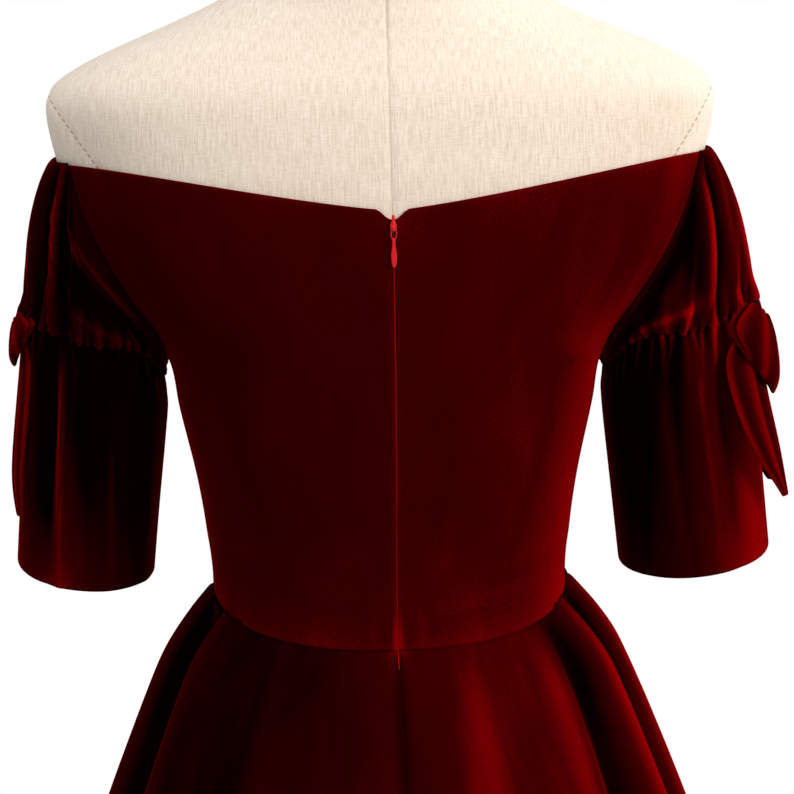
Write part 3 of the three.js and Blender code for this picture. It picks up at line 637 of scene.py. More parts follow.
def add_bodice_panel(name, side, behind, edges, width, length, slit):
    """One panel: its outer face, its inner face with the turned edges, and its painted light and
    shade.
    """
    inward = places_between_seams(width)
    upward = places_between_seams(length, 4.0)
    across, up = np.meshgrid(inward, upward)
    from_centre = edges[0] + (edges[1] - edges[0]) * across
    share = edge_share(across, up, width, length)
    # The turned-in edge lies flat on the form under the next piece, so that no seam is open.
    under = across * (1 + 2 * SEAM_EDGE / width) if slit else (
        across + (2 * across - 1) * SEAM_EDGE / width)
    under_centre = edges[0] + (edges[1] - edges[0]) * under
    under_up = up + (up - 1) * SEAM_EDGE / length
    inner = bodice_place(side, behind, under_centre, under_up, REST * share, slit)
    crease = bodice_creases(inner, behind) * turned_under(up, 30) * turned_under(across, 12)
    outer = bodice_place(side, behind, from_centre, up, REST + CLOTH * share + crease, slit)
    # Painted light and shade: painted highlights on creases and turned edges, a little darker
    # towards the neck, lighter across the right panels and darker across the left as if lit from
    # the right, and low on the backs a painted highlight band, brighter on the right, with
    # painted shade in the side seam.
    tone_and_painted_light = 0.43 + 0.08 * crease + 0.1 * (1 - turned_under(up, 9)) - 0.07 * up
    tone_and_painted_light = tone_and_painted_light + (0.03 + 0.12 * across**2 if side < 0 else -0.03 * across)
    low = behind * (1 - smooth_step(up, 0.5, 0.8))
    side_painted_highlight = 0.05 if side > 0 else 0.22
    tone_and_painted_light = tone_and_painted_light + low * (
        side_painted_highlight * bell(across - 0.8, 0.17) - 0.4 * bell(1 - across, 0.04))
    # A painted highlight along the armhole edge of the backs, and beside the zip, most at its foot.
    armhole_painted_highlight = bell((1 - across) * width, 1.5) * smooth_step(up, 0.6, 0.7)
    tone_and_painted_light = tone_and_painted_light + 0.3 * armhole_painted_highlight * (slit > 0)
    if slit:
        zip_painted_highlight = bell(across * width, 1.6)
        tone_and_painted_light = tone_and_painted_light + zip_painted_highlight * (0.06 + 0.3 * bell(up * length - 8, 12))
    return cloth_shell(name, outer, inner, width, length, tone_and_painted_light)


# panel, its words, behind, its edges as shares of the way from the centre line to the side,
# width and length for the map in mm, half the slit's width, cut (width, length) and its area
BODICE_PANELS = [
    ("back", ("left", "right"), True, (0, 1 - SEAM_SHARE), BACK_WIDTH, 285, ZIP_SLIT,
     (0.2, 0.31), 0.052),
    ("side_front", ("left", "right"), False, (PRINCESS_SEAM + SEAM_SHARE, 1 - SEAM_SHARE), 95,
     275, 0, (0.12, 0.30), 0.027),
    ("front", ("centre",), False, (SEAM_SHARE - PRINCESS_SEAM, PRINCESS_SEAM - SEAM_SHARE), 150,
     260, 0, (0.21, 0.29), 0.052),
]
for panel_name, words, behind, edges, width, length, slit, cut, area in BODICE_PANELS:
    for word in words:
        name = f"bodice_{panel_name}_{word}"
        side = -1 if word == "right" else 1
        panel = add_bodice_panel(name + "_velvet", side, behind, edges, width, length, slit)
        finish_piece(panel, velvet, [name])

# ---------------------------------------------------------------------------
# The skirt: flared velvet, sewn to the waist, with a front cut in one and two backs that meet
# in a seam under the zip. It hangs in deep soft folds that open downwards.
HEM = 335
SEAM_GAP = 0.5
SKIRT_WALL = 2.3
SKIRT_LENGTH = 695
PANEL_LENGTH = 690
WAIST_RADIUS = 110
HIP_DROP = (250, 330)

# drop below the waist seam, how far the skirt swings out
FLARE = np.array([
    (0, 0), (16, 11), (42, 25), (83, 43), (146, 67), (300, 120), (500, 182), (695, 236),
])

# turn of the ridge in degrees, depth at the hem, width in degrees, drop at which it starts,
# and the share of its depth that it has already reached near the waist
SKIRT_FOLDS = [
    (3, 30, 6.5, -20, 0.34), (15.5, -28, 6, -40, 0.5), (27, 38, 5.5, -40, 0.34),
    (58, 27, 8, 10, 0.18), (82, 18, 6, 50, 0.1), (90, -4, 1.2, -40, 0.7),
    (107, 30, 8, -10, 0.22), (133, 28, 8, -20, 0.24), (146, -16, 5, -30, 0.4),
    (157, 38, 5.5, -30, 0.36), (166.5, -22, 4, -30, 0.45), (176, 30, 5.5, -30, 0.4),
    (196, 30, 10, 20, 0.16), (222, 33, 11, 10, 0.12), (252, 27, 9, 60, 0.1),
    (281, 31, 10, 40, 0.1), (309, 34, 10, 10, 0.12), (336, 26, 9, 30, 0.2),
]


def degrees_from(at, turn):
    """How far a turn is past a place given in degrees, from -180 to 180."""
    return (np.degrees(turn) - at + 540) % 360 - 180


def skirt_ridges(turn, drop, narrow=1.0):
    """How far the folds stand out at each place, in mm, and their mean at that height."""
    out, level = 0 * turn, 0 * turn
    for at, depth, width, start, early in SKIRT_FOLDS:
        grown = (1 - early) * smooth_step(drop, start, SKIRT_LENGTH) ** 0.8
        grown = grown + early * smooth_step(drop, start, start + 70)
        wide = width * (1.25 - 0.25 * grown) * (narrow if depth > 0 else 1)
        out = out + depth * grown * bell(degrees_from(at, turn), wide)
        level = level + depth * grown * math.sqrt(math.pi) * wide / 360
    return out, level


def skirt_place(turn, fall, lift):
    """The skirt's inner face: fall runs from the waist seam (0) to the hem (1)."""
    sine = np.clip(np.abs(np.sin(turn)), 0, 1)
    sideways = 1 - np.arcsin(sine) / (np.pi / 2)
    back = np.sin(turn) > 0
    seam = np.where(back, BACK_WAIST[0], FRONT_WAIST[0]) + sideways**2 * np.where(
        back, BACK_WAIST[1], FRONT_WAIST[1])
    top = on_form(turn, seam - SEAM_GAP, REST + 0 * turn)
    drop = fall * (top[..., 2] - HEM)
    swing = read_table(FLARE, 1, drop)
    out, level = skirt_ridges(turn, drop)
    # The form's hips hold each fold off softly, and below them it reaches in further.
    out_from = np.stack([np.cos(turn), np.sin(turn), 0 * turn], -1)
    hips = ((form_surface(turn, top[..., 2] - drop) - top) * out_from).sum(-1)
    hips = hips + 5 * REST * smooth_step(drop, 0, 60)
    least = np.maximum(0.35 * swing, hips * (1 - smooth_step(drop, *HIP_DROP)))
    soft = 0.01 + 3 * smooth_step(drop, 0, 40)
    swing = least + soft * np.logaddexp(0, (swing + out - level - least) / soft) + lift
    return top + out_from * swing[..., None] - np.stack([0 * drop, 0 * drop, drop], -1)


def add_skirt_panel(name, start, end, width):
    """One panel, with its seam edges and its hem turned in."""
    across = places_between_seams(width, 5.0)
    down = places_between_seams(PANEL_LENGTH, 6.0) ** 1.12
    across, fall = np.meshgrid(across, down)
    gap = SEAM_GAP / 2 / WAIST_RADIUS
    turn = start + gap + (end - start - 2 * gap) * across
    thick = SKIRT_WALL * edge_share(across, fall, width, PANEL_LENGTH)
    outer = skirt_place(turn, fall, thick)
    tuck = SEAM_EDGE / WAIST_RADIUS * (1 - 0.7 * fall) * (2 * across - 1)
    edge = 1 - turned_under(across, width) * turned_under(fall, PANEL_LENGTH)
    tucked = fall + (fall - 1) * SEAM_EDGE / PANEL_LENGTH
    inner = skirt_place(turn + tuck, tucked, -0.5 * edge)
    # Painted light and shade: painted highlights on the ridges, painted shade in the hollows and
    # over the left side, painted light to the right of the zip, and a painted highlight on the
    # puckers at the foot of the zip.
    out = skirt_ridges(turn, fall * SKIRT_LENGTH, narrow=0.45)[0] / (0.25 + fall)
    left_painted_shade = 0.27 * bell(degrees_from(40, turn), 50)
    lit = 0.15 * bell(degrees_from(112, turn), 28)
    tone_and_painted_light = 0.34 + np.where(out > 0, 0.009 - 0.018 * left_painted_shade, 0.024) * out - left_painted_shade + lit
    zip_painted_highlight = bell(degrees_from(90, turn), 2.6)
    tone_and_painted_light = tone_and_painted_light + 0.4 * zip_painted_highlight * np.exp(-fall * PANEL_LENGTH / 14)
    return cloth_shell(name, outer, inner, width, PANEL_LENGTH, tone_and_painted_light)


# piece, from and to in degrees, width for the map, cut (width at the hem, length), area
SKIRT_PANELS = [
    ("skirt_back_left", 0, 90, 400, (0.62, 0.70), 0.29),
    ("skirt_back_right", 90, 180, 400, (0.62, 0.70), 0.29),
    ("skirt_front", 180, 360, 800, (1.24, 0.70), 0.58),
]
for name, start, end, width, cut, area in SKIRT_PANELS:
    panel = add_skirt_panel(name + "_velvet", math.radians(start), math.radians(end), width)
    finish_piece(panel, velvet, [name])

# ---------------------------------------------------------------------------
# The sleeves: each is a short velvet puff, gathered at its lower edge into a plain tube that
# ends above the elbow in a turned-up hem.
GATHER_HEIGHT = 1190
GATHER_RADIUS = 48
HEM_RADIUS = 49.5
SLEEVE_FORWARD = 28
PUFF_TOP = 1306
PUFF_FALL = 110
PUFF_LENGTH = 120
PUFF_ROUND = 360
LOWER_LENGTH = 150
LOWER_ROUND = 315
GATHER_COUNT = 44

# side, top_out, hem_out, hem_height: how far out the axis is at the gathers and at the hem, and
# the hem's height, in mm. top_wide, wide, deep: the gathers and the hem beside round ones.
# puff, leave: how far the puff swells, and how far it drops as it leaves the neckline, in mm.
# bow_turn, bow_stand, bow_high, loop_wide, loop_long, tail_wide, tail_shift: the bow's turn
# towards the back in degrees, how far it stands away and how high it sits, and how its loops
# and tails differ from the tables of the bows.
# nap_and_painted_shade, crest, near_seam: the painted light of the whole sleeve, lower on the
# left one, which lies in shade, and the painted highlight added on the crests of the gathers and
# by the armhole seam. narrow: the width of its painted crests beside that of the folds.
# lit, shades: where on the lower sleeve painted light is added towards the hem and painted
# shade towards the gathers: turn and width in degrees, how much and how suddenly.
ARMS = {
    "left": dict(side=1, top_out=184, hem_out=198, hem_height=1038, top_wide=0.93, wide=0.9,
                 deep=1.05, puff=10.5, bow_turn=-11, bow_stand=0.3, loop_wide=0.72,
                 loop_long=0.5, bow_high=5, tail_wide=0.84, tail_shift=(0, -13, -13, -4, 15),
                 leave=1, nap_and_painted_shade=0.07, crest=0.25, narrow=0.28, near_seam=0.08, lit=(60, 36, 0.46, 2),
                 shades=[(128, 50, 0.5, 1), (44, 12, 0.4, 0.5)]),
    "right": dict(side=-1, top_out=187, hem_out=205, hem_height=1035, top_wide=1, wide=1,
                  deep=1, puff=12.5, bow_turn=2, bow_stand=1, loop_wide=1,
                  loop_long=1, bow_high=0, tail_wide=1, tail_shift=(0, 0, 0, 0, 0),
                  leave=10, nap_and_painted_shade=0.2, crest=0.8, narrow=0.5, near_seam=0, lit=(42, 36, 0.5, 0.3),
                  shades=[(140, 44, 0.45, 0.7)]),
}

# Folds of each puff, in degrees from its outer side by way of the back: at its top, at its
# middle and at the gathers; depth in mm, half width in degrees, and where it is fullest.
FRONT_FOLDS = [
    (204, 205, 200, 3, 9, 0.5), (246, 250, 252, 5, 9, 0.5),
    (292, 290, 286, 6, 8, 0.5), (334, 334, 338, 5, 8, 0.5),
]
PUFF_FOLDS = {
    "left": [
        (61, 56, 51, 5, 5, 0.4), (61, 56, 51, 5, 2, 0.4), (50, 45, 40, -6, 5, 0.45),
        (54, 48, 44, 4, 1.8, -0.3), (69, 71, 74, 5, 2, -0.2), (67, 65, 62, -5, 4, 0.45),
        (76, 79, 84, 4, 2.2, -0.2), (24, 20, 18, 5, 9, 0.5), *FRONT_FOLDS,
    ],
    "right": [
        (72, 68.5, 74, 11, 4.5, 0.45), (82, 81, 86, -3, 6, 0.5), (60, 58, 63, -9, 5.5, 0.45),
        (46, 45, 47, 4, 6, 0.4), (28, 26, 24, 5, 8, 0.5), *FRONT_FOLDS,
    ],
}

# Folds that run round the puff below the armhole: turn and share of the fall at both their
# ends, depth in mm, and half width as a share of the fall.
FRONT_ROLLS = [(232, 0.5, 300, 0.36, 4, 0.1), (236, 0.68, 306, 0.5, -4, 0.12)]
PUFF_ROLLS = {
    "left": [
        (56, 0.36, 128, 0.5, 5, 0.06), (60, 0.52, 136, 0.72, -7, 0.12),
        (66, 0.74, 112, 0.86, 2, 0.07), *FRONT_ROLLS,
    ],
    "right": [
        (74, 0.16, 160, 0.5, -9, 0.15), (66, 0.74, 126, 0.82, 6, 0.1),
        (104, 0.62, 165, 0.8, -4, 0.12), *FRONT_ROLLS,
    ],
}


def sleeve_axis(arm, height):
    """The middle of the sleeve, which leans out and forward below the gathers."""
    way = (GATHER_HEIGHT - height) / (GATHER_HEIGHT - arm["hem_height"])
    out = arm["top_out"] + (arm["hem_out"] - arm["top_out"]) * np.maximum(way, -0.15)
    return np.stack([arm["side"] * out, -SLEEVE_FORWARD * np.maximum(way, 0), height + 0 * out], -1)


def outward_at(arm, turn):
    """The way out from the axis: turn runs from the sleeve's outer side by way of the back."""
    return np.stack([arm["side"] * np.cos(turn), np.sin(turn), 0 * turn], -1)


def round_sleeve(arm, turn, radius, height):
    """A place round the sleeve, which may be oval towards its hem."""
    way = np.clip((GATHER_HEIGHT - height) / (GATHER_HEIGHT - arm["hem_height"]), 0, 1)
    place = outward_at(arm, turn) * np.asarray(radius)[..., None]
    place[..., 0] *= arm["top_wide"] + (arm["wide"] - arm["top_wide"]) * way
    place[..., 1] *= 1 + (arm["deep"] - 1) * way
    return place + sleeve_axis(arm, height)


def gather_line(turn):
    """Level behind, higher outside, lower at the underarm."""
    c = np.cos(turn)
    return GATHER_HEIGHT + 22 * np.maximum(c, 0) ** 1.6 - 26 * np.maximum(-c, 0) ** 3


def puff_edge(arm, turn):
    """The puff's upper edge: along the neckline, then down round the armhole."""
    half = np.abs(np.arctan2(np.sin(turn), np.cos(turn)))
    behind = np.sin(turn) > 0
    corner = math.radians(60)
    way = np.clip((half - corner) / (np.pi - corner), 0, 1)
    height = PUFF_TOP - (PUFF_TOP - UNDERARM) * np.sin(way * np.pi / 2) ** 1.3
    around = np.where(behind, edge_turn(height, True), edge_turn(height, False))
    around = around * np.clip(half / corner, 0, 1)
    around = np.maximum(around - 0.012, 0)
    point = on_form(np.where(behind, around, -around), height, REST + CLOTH * 0.6 + 0 * height)
    point[..., 0] *= arm["side"]
    return point


def gathers_of(seed, count):
    """Uneven gathers round a sleeve: turn, width, reach in mm, depth and lean of each."""
    draw = np.random.default_rng(seed)
    at = np.arange(count) * 360 / count + draw.uniform(-2.6, 2.6, count)
    ranges = [(1.6, 3.4), (8, 30), (2.2, 5.2), (-2.5, 2.5)]
    wide, reach, depth, lean = [draw.uniform(low, high, count) for low, high in ranges]
    return list(zip(at, wide, reach, depth * (1 - 0.75 * bell(at - 180, 26)), lean))


def gathered(turn, distance, gathers, reach_scale):
    """The lift of all gathers at a distance in mm from the gathering line."""
    lift = -4.0 * np.exp(-distance / 14)
    for at, wide, reach, depth, lean in gathers:
        spread = wide * (1 + distance / 30)
        away = degrees_from(at + lean * distance / 8, turn)
        lift = lift + depth * bell(away, spread) * np.exp(-distance / (reach * reach_scale))
    return lift


def gather_crests(turn, distance, gathers):
    """From 0 between the gathers to 1 along their crests."""
    crest = 0 * turn
    for at, wide, reach, depth, lean in gathers:
        away = degrees_from(at + lean * distance / 8, turn)
        along = bell(away, wide * (0.5 + distance / 60)) * np.exp(-distance / reach)
        crest = np.maximum(crest, along * depth / 3.4)
    return crest


def fold_profile(away, width):
    """A soft fold with a sharper crest on it, which adds nothing in all."""
    return 0.75 * bell(away, width * 1.3) + 0.25 * bell(away, width * 0.45) - 0.012 * width


def puff_lift(turn, inside, word, gathers, narrow=1.0, share=1.0):
    """How far the puff's folds and gathers stand out, in mm."""
    swell = np.sin(np.pi * inside) ** 0.7
    lift = 0 * turn
    for top, middle, low, depth, width, fullest in PUFF_FOLDS[word]:
        bend = 4 * inside * (1 - inside) * (middle - (top + low) / 2)
        away = degrees_from(top + (low - top) * inside + bend, turn)
        wide = width * (narrow if depth > 0 else 1)
        lift = lift + depth * swell * bell(inside - fullest, 0.45) * fold_profile(away, wide)
    for start, high, stop, low, depth, width in PUFF_ROLLS[word]:
        along = np.clip((np.degrees(turn) - start) / (stop - start), 0, 1)
        line = high + (low - high) * along
        wide = width * (narrow if depth > 0 else 1)
        lift = lift + depth * swell * np.sin(np.pi * along) ** 0.6 * bell(inside - line, wide)
    return lift + share * gathered(turn, (1 - inside) * PUFF_FALL, gathers, 1.4)


def puff_place(arm, word, gathers):
    """The puff's middle surface, from the armhole and neckline (0) down to the gathers (1)."""
    rim = SEAM_GAP / 2 + CLOTH * 0.8

    def place(turn, fall):
        t = np.clip(fall, -0.1, 1.1)[..., None]
        start = puff_edge(arm, turn)
        end = round_sleeve(arm, turn, GATHER_RADIUS + 0 * turn, gather_line(turn) + rim)
        outward = outward_at(arm, turn)
        outside = (1 + np.cos(turn)) / 2
        full = (arm["puff"] * np.sqrt(outside))[..., None]
        leave = start + outward * full
        leave[..., 2] = start[..., 2] - arm["leave"]
        arrive = end + outward * full * 0.8
        arrive[..., 2] = end[..., 2] + 7 * outside + 1
        point = (start * (1 - t) ** 3 + leave * 3 * t * (1 - t) ** 2
                 + arrive * 3 * t**2 * (1 - t) + end * t**3)
        inside = np.clip(fall, 0, 1)
        # The puff is fullest just above the gathers and hangs a little over them.
        crest = gather_crests(turn, 6 + 0 * turn, gathers)
        over = bell(inside - 0.91, 0.08) * (0.3 + 0.7 * outside) * (0.5 + crest)
        point[..., 2] -= 4.5 * over
        lift = 4.5 * over + puff_lift(turn, inside, word, gathers)
        return point + outward * lift[..., None]

    return place


def lower_lift(turn, inside, drags, gathers, narrow=1.0, share=1.0):
    """How far the lower sleeve's drag lines and gathers stand out, in mm."""
    lift = share * gathered(turn, inside * LOWER_LENGTH, gathers, 0.7)
    for high, low, depth, width, fullest in drags:
        away = degrees_from(high + (low - high) * inside, turn)
        grown = bell(inside - fullest, 0.45) * inside**0.3
        lift = lift + depth * grown * fold_profile(away, width * (narrow if depth > 0 else 1))
    return lift


def lower_place(arm, drags, gathers):
    """The lower sleeve's middle surface, from the gathers (0) to the hem (1)."""
    ends = [sleeve_axis(arm, np.array(float(h))) for h in (arm["hem_height"], GATHER_HEIGHT)]
    lean = (ends[0] - ends[1]) / np.linalg.norm(ends[0] - ends[1])

    def place(turn, fall):
        top = gather_line(turn) - SEAM_GAP / 2
        tilt = outward_at(arm, turn) @ lean
        bottom = arm["hem_height"] - HEM_RADIUS * tilt / lean[2]
        swell = 2.2 * smooth_step(fall, 0, 0.16) * (1 - fall)
        radius = GATHER_RADIUS + (HEM_RADIUS - GATHER_RADIUS) * fall + swell
        radius = radius + lower_lift(turn, np.clip(fall, 0, 1), drags, gathers)
        return round_sleeve(arm, turn, radius, top + (bottom - top) * fall)

    return place


def add_sleeve_tube(name, arm, place, tone_and_painted_light, falls, width, length, allowance=0.0):
    """A closed tube of cloth round a middle surface. The allowance is how far its inner face
    runs up behind the seam above, in mm."""
    turns = np.linspace(0, 2 * np.pi, 361)[:-1]
    turn, fall = np.meshgrid(turns, falls)
    half = CLOTH / 2 * (0.25 + 0.75 * turned_under(fall, length))
    outer = lifted(place, turn, fall, -arm["side"] * half)
    tucked = fall - allowance / length * np.exp(-fall * length / 3)
    inner = lifted(place, turn, tucked, arm["side"] * half)
    return cloth_shell(name, outer, inner, width, length, tone_and_painted_light(turn, fall), tube=True)


# Long soft drag lines of the lower sleeves: turn at the gathers and at the hem, depth, width
# in degrees, and where along the fall it is fullest.
SLEEVE_DRAGS = {
    "left": [(65, 69, 8, 3.5, 0.4), (53, 57, -10, 7, 0.3), (80, 88, -2.5, 8, 0.35),
             (100, 112, 2.2, 8, 0.5), (140, 150, 2, 9, 0.6), (230, 220, 2.5, 10, 0.5),
             (300, 292, 2.5, 9, 0.5)],
    "right": [(84, 76, 4, 5, 0.2), (66, 60, -4.5, 7, 0.4), (98, 104, -2, 6, 0.4),
              (112, 104, 2.2, 8, 0.5), (142, 134, -2.2, 9, 0.5), (225, 232, 2.5, 10, 0.5),
              (296, 304, 2.5, 9, 0.5)],
}


def add_puff(word, arm, seed):
    """A puff, with painted highlights on its ridges and near the armhole and painted shade in its
    hollows.
    """
    gathers = gathers_of(seed, GATHER_COUNT)

    # Painted light: the sleeve's own level, painted highlights on the ridges, on the crests of the
    # gathers and near the armhole seam, and painted shade in the hollows.
    def tone_and_painted_light(turn, fall):
        crests = gather_crests(turn, (1 - fall) * PUFF_FALL, gathers)
        lift = puff_lift(turn, fall, word, gathers, arm["narrow"], arm["crest"])
        seam_painted_highlight = arm["near_seam"] * np.exp(-fall / 0.25)
        return arm["nap_and_painted_shade"] + 0.08 * lift + seam_painted_highlight + arm["crest"] * crests

    return add_sleeve_tube(f"sleeve_puff_{word}_velvet", arm, puff_place(arm, word, gathers),
                           tone_and_painted_light, places_between_seams(PUFF_LENGTH, 2.0), PUFF_ROUND,
                           PUFF_LENGTH)


def add_lower(word, arm, seed):
    """A lower sleeve, with painted light towards the hem and painted shade towards the underarm."""
    drags, gathers = SLEEVE_DRAGS[word], gathers_of(seed, GATHER_COUNT)

    # Painted light: highlights on the ridges and the crests of the gathers, lighter towards the
    # hem, with painted light and painted shade where the arm's lit and shades place them.
    def tone_and_painted_light(turn, fall):
        crests = gather_crests(turn, fall * LOWER_LENGTH, gathers)
        lift = lower_lift(turn, fall, drags, gathers, arm["narrow"], arm["crest"])
        middle, wide, highlight_strength, power = arm["lit"]
        painted_light_and_shade = highlight_strength * bell(degrees_from(middle, turn), wide) * fall**power
        for middle, wide, shade_strength, power in arm["shades"]:
            painted_light_and_shade = painted_light_and_shade - shade_strength * bell(degrees_from(middle, turn), wide) * (1 - fall) ** power
        return arm["nap_and_painted_shade"] + 0.08 * lift + 0.08 * fall + painted_light_and_shade + 0.7 * arm["crest"] * crests

    return add_sleeve_tube(f"sleeve_lower_{word}_velvet", arm, lower_place(arm, drags, gathers),
                           tone_and_painted_light, places_between_seams(LOWER_LENGTH, 2.6), LOWER_ROUND,
                           LOWER_LENGTH, allowance=5.0)


# word, seeds of the gathers above and below the line
for word, seeds in [("left", (11, 12)), ("right", (21, 22))]:
    puff = add_puff(word, ARMS[word], seeds[0])
    finish_piece(puff, velvet, [f"sleeve_puff_{word}"])
    lower = add_lower(word, ARMS[word], seeds[1])
    finish_piece(lower, velvet, [f"sleeve_lower_{word}"])

# ---------------------------------------------------------------------------
# The bows: a drooping velvet bow on the outer side of each sleeve, two loops and two tails of
# turned ribbon, held by a small wrapped knot that is sewn over the gathers.
BOW_BASE = GATHER_RADIUS + CLOTH + 1.5
LOOP_WIDTH = 40
TAIL_WIDTH = 28
RIBBON_LENGTH = 120
KNOT_ROUND = 40
KNOT_LENGTH = 24
KNOT = dict(height=1197, tall=28, wide=16, near=46.5, deep=14)

# along the loop, turn from the bow's middle, height, half width, slant, lift, thickness
LOOP_LINE = np.array([
    (0, 20, 1201, 12, 0.5, 1, 5),
    (0.3, 28, 1190, 19, 0.5, 2, 7),
    (0.7, 32, 1173, 20, 0.8, 2.5, 8),
    (1, 31, 1159, 13, 1.1, 3, 6),
])

# along the tail, turn from the bow's middle, height, half width, lift
TAIL_LINE = np.array([
    (0, 20, 1196, 9, 2),
    (0.25, 37, 1176, 19, 2.5),
    (0.5, 40, 1146, 18, 5.5),
    (0.8, 36, 1106, 12, 12),
    (1, 28, 1077, 3, 16),
])


def bow_place(arm, towards, around, height, radius):
    """A place round the sleeve, counted from the bow's middle towards the back or the front."""
    turn = np.radians(arm["bow_turn"] + towards * around)
    return round_sleeve(arm, turn, radius, height)


def add_ribbon(name, place, width, length):
    """A strip of turned ribbon that is thinner at its edges, with two soft lines of painted shade
    along it.
    """
    across, along = np.meshgrid(places_between_seams(width, 1.6), places_between_seams(length, 2.2))
    half = CLOTH / 2 * (0.3 + 0.7 * turned_under(across, width) * turned_under(along, length))
    outer = lifted(place, across, along, half)
    inner = lifted(place, across, along, -half)
    # Painted light: painted highlights along the middle and the edges, painted shade between them.
    tone_and_painted_light = 0.42 + 0.2 * np.cos((across - 0.5) * 4 * np.pi)
    return cloth_shell(name, outer, inner, width, length, tone_and_painted_light)


def loop_place(arm, towards):
    """Out from the knot on the ribbon's outer layer, round its end and back beneath."""
    def place(across, way):
        bend = np.pi * way
        reach = np.sin(bend)
        turn, height, half, slant, lift, thick = (
            read_table(LOOP_LINE, c, reach) for c in (1, 2, 3, 4, 5, 6))
        width = (across - 0.5) * 2 * half * arm["loop_wide"]
        height = LOOP_LINE[0, 2] + (height - LOOP_LINE[0, 2]) * arm["loop_long"] + arm["bow_high"]
        around = turn + width / math.radians(BOW_BASE)
        thick = thick * (0.6 + 0.4 * arm["bow_stand"])
        middle = BOW_BASE + (lift - 0.12 * width) * arm["bow_stand"] + 3.9 + thick / 2
        pleats = 0.9 * np.cos((across - 0.5) * 5.5 * np.pi) * np.exp(-reach / 0.4)
        radius = middle + np.cos(bend) * thick / 2 + pleats * (np.cos(bend) > -0.2)
        return bow_place(arm, towards, around, height + slant * width, radius)

    return place


def tail_place(arm, towards):
    """A strip that leaves the knot beneath the loop and stands away from the sleeve."""
    def place(across, down):
        turn, height, half, lift = (read_table(TAIL_LINE, c, down) for c in (1, 2, 3, 4))
        width = (across - 0.5) * 2 * half * arm["tail_wide"]
        shift = read_table(np.column_stack([TAIL_LINE[:, 0], arm["tail_shift"]]), 1, down)
        around = turn + shift + width / math.radians(BOW_BASE)
        fold = 1.6 * np.cos((across - 0.5) * 4 * np.pi) * np.sin(np.pi * np.clip(down, 0, 1))
        radius = BOW_BASE + 1.2 + lift * arm["bow_stand"] + fold * (0.4 + 0.6 * arm["bow_stand"])
        return bow_place(arm, towards, around, height, radius)

    return place


def add_knot(name, arm):
    """The wrapped middle: a soft roll, fuller at its middle, with creases along it."""
    turns = np.linspace(0, 2 * np.pi, 65)[:-1]
    around, up = np.meshgrid(turns, (1 - np.cos(np.linspace(0.06, np.pi - 0.06, 33))) / 2)
    swell = np.sqrt(1 - np.abs(2 * up - 1) ** 2.6)
    creases = 0.6 * np.cos(around * 5 + up * 3) * swell * np.cos(around / 2) ** 2
    place = np.degrees(np.sin(around) * KNOT["wide"] / 2 * swell / KNOT["near"])
    out = 0.5 + 0.5 * np.cos(around) * swell
    height = KNOT["height"] + arm["bow_high"] + (up - 0.5) * KNOT["tall"]
    skin = bow_place(arm, 1, place, height, KNOT["near"] + KNOT["deep"] * out + creases)
    core = bow_place(arm, 1, place * 0.5, height - (up - 0.5) * KNOT["tall"] * 0.2,
                     KNOT["near"] + KNOT["deep"] * (0.5 + 0.25 * np.cos(around) * swell))
    # Painted light and shade that follow the creases.
    velvet_tone_and_painted_light = 0.35 + 0.3 * creases
    return cloth_shell(name, skin, core, KNOT_ROUND, KNOT_LENGTH, velvet_tone_and_painted_light, tube=True)


for word, arm in ARMS.items():
    knot = add_knot(f"bow_knot_{word}_velvet", arm)
    finish_piece(knot, velvet, [f"bow_knot_{word}"])
    for face, towards in [("back", 1), ("front", -1)]:
        loop = add_ribbon(f"bow_loop_{face}_{word}_velvet", loop_place(arm, towards),
                          LOOP_WIDTH, RIBBON_LENGTH)
        finish_piece(loop, velvet, [f"bow_loop_{face}_{word}"])
        tail = add_ribbon(f"bow_tail_{face}_{word}_velvet", tail_place(arm, towards),
                          TAIL_WIDTH, RIBBON_LENGTH)
        finish_piece(tail, velvet, [f"bow_tail_{face}_{word}"])

# ---------------------------------------------------------------------------
# The zip: a concealed coil, sewn in under the two folded edges of the backs, with a small
# die-cast slider and a teardrop pull in red enamel at its top.
ZIP_TOP = 1266
COIL_TOP = 1260
COIL_PITCH = 0.7
COIL_HALF = 0.38
SLIDER_THICK = 1.5
BAIL_THICK = 1.2
PULL_THICK = 1.0
SLIDER_POINTS = 48
PULL_POINTS = 64

# Polyester coil and tape, dyed dark red: a dull plastic, ribbed by its turns. Its red is
# brighter than the velvet's, partly its dye and partly a painted highlight for the lit folded
# edges of the slit.
coil_red = new_material("coil_dye_and_painted_highlight")
place = add_node(coil_red, "ShaderNodeTexCoord", {}).outputs["Object"]
ribs = add_node(coil_red, "ShaderNodeTexWave", {
    "Vector": place, "Scale": 450.0, "Distortion": 0.0,
}, bands_direction="Z")
rib_bump = add_node(coil_red, "ShaderNodeBump", {
    "Height": ribs.outputs["Fac"], "Strength": 0.5, "Distance": 0.0003,
})
coil_surface = add_node(coil_red, "ShaderNodeBsdfPrincipled", {
    "Base Color": srgb("#9a0409"),
    "Normal": rib_bump.outputs["Normal"],
    "Roughness": 0.8,
    "Specular IOR Level": 0.0,
    "IOR": 1.5,
})
add_node(coil_red, "ShaderNodeOutputMaterial", {"Surface": coil_surface.outputs["BSDF"]})


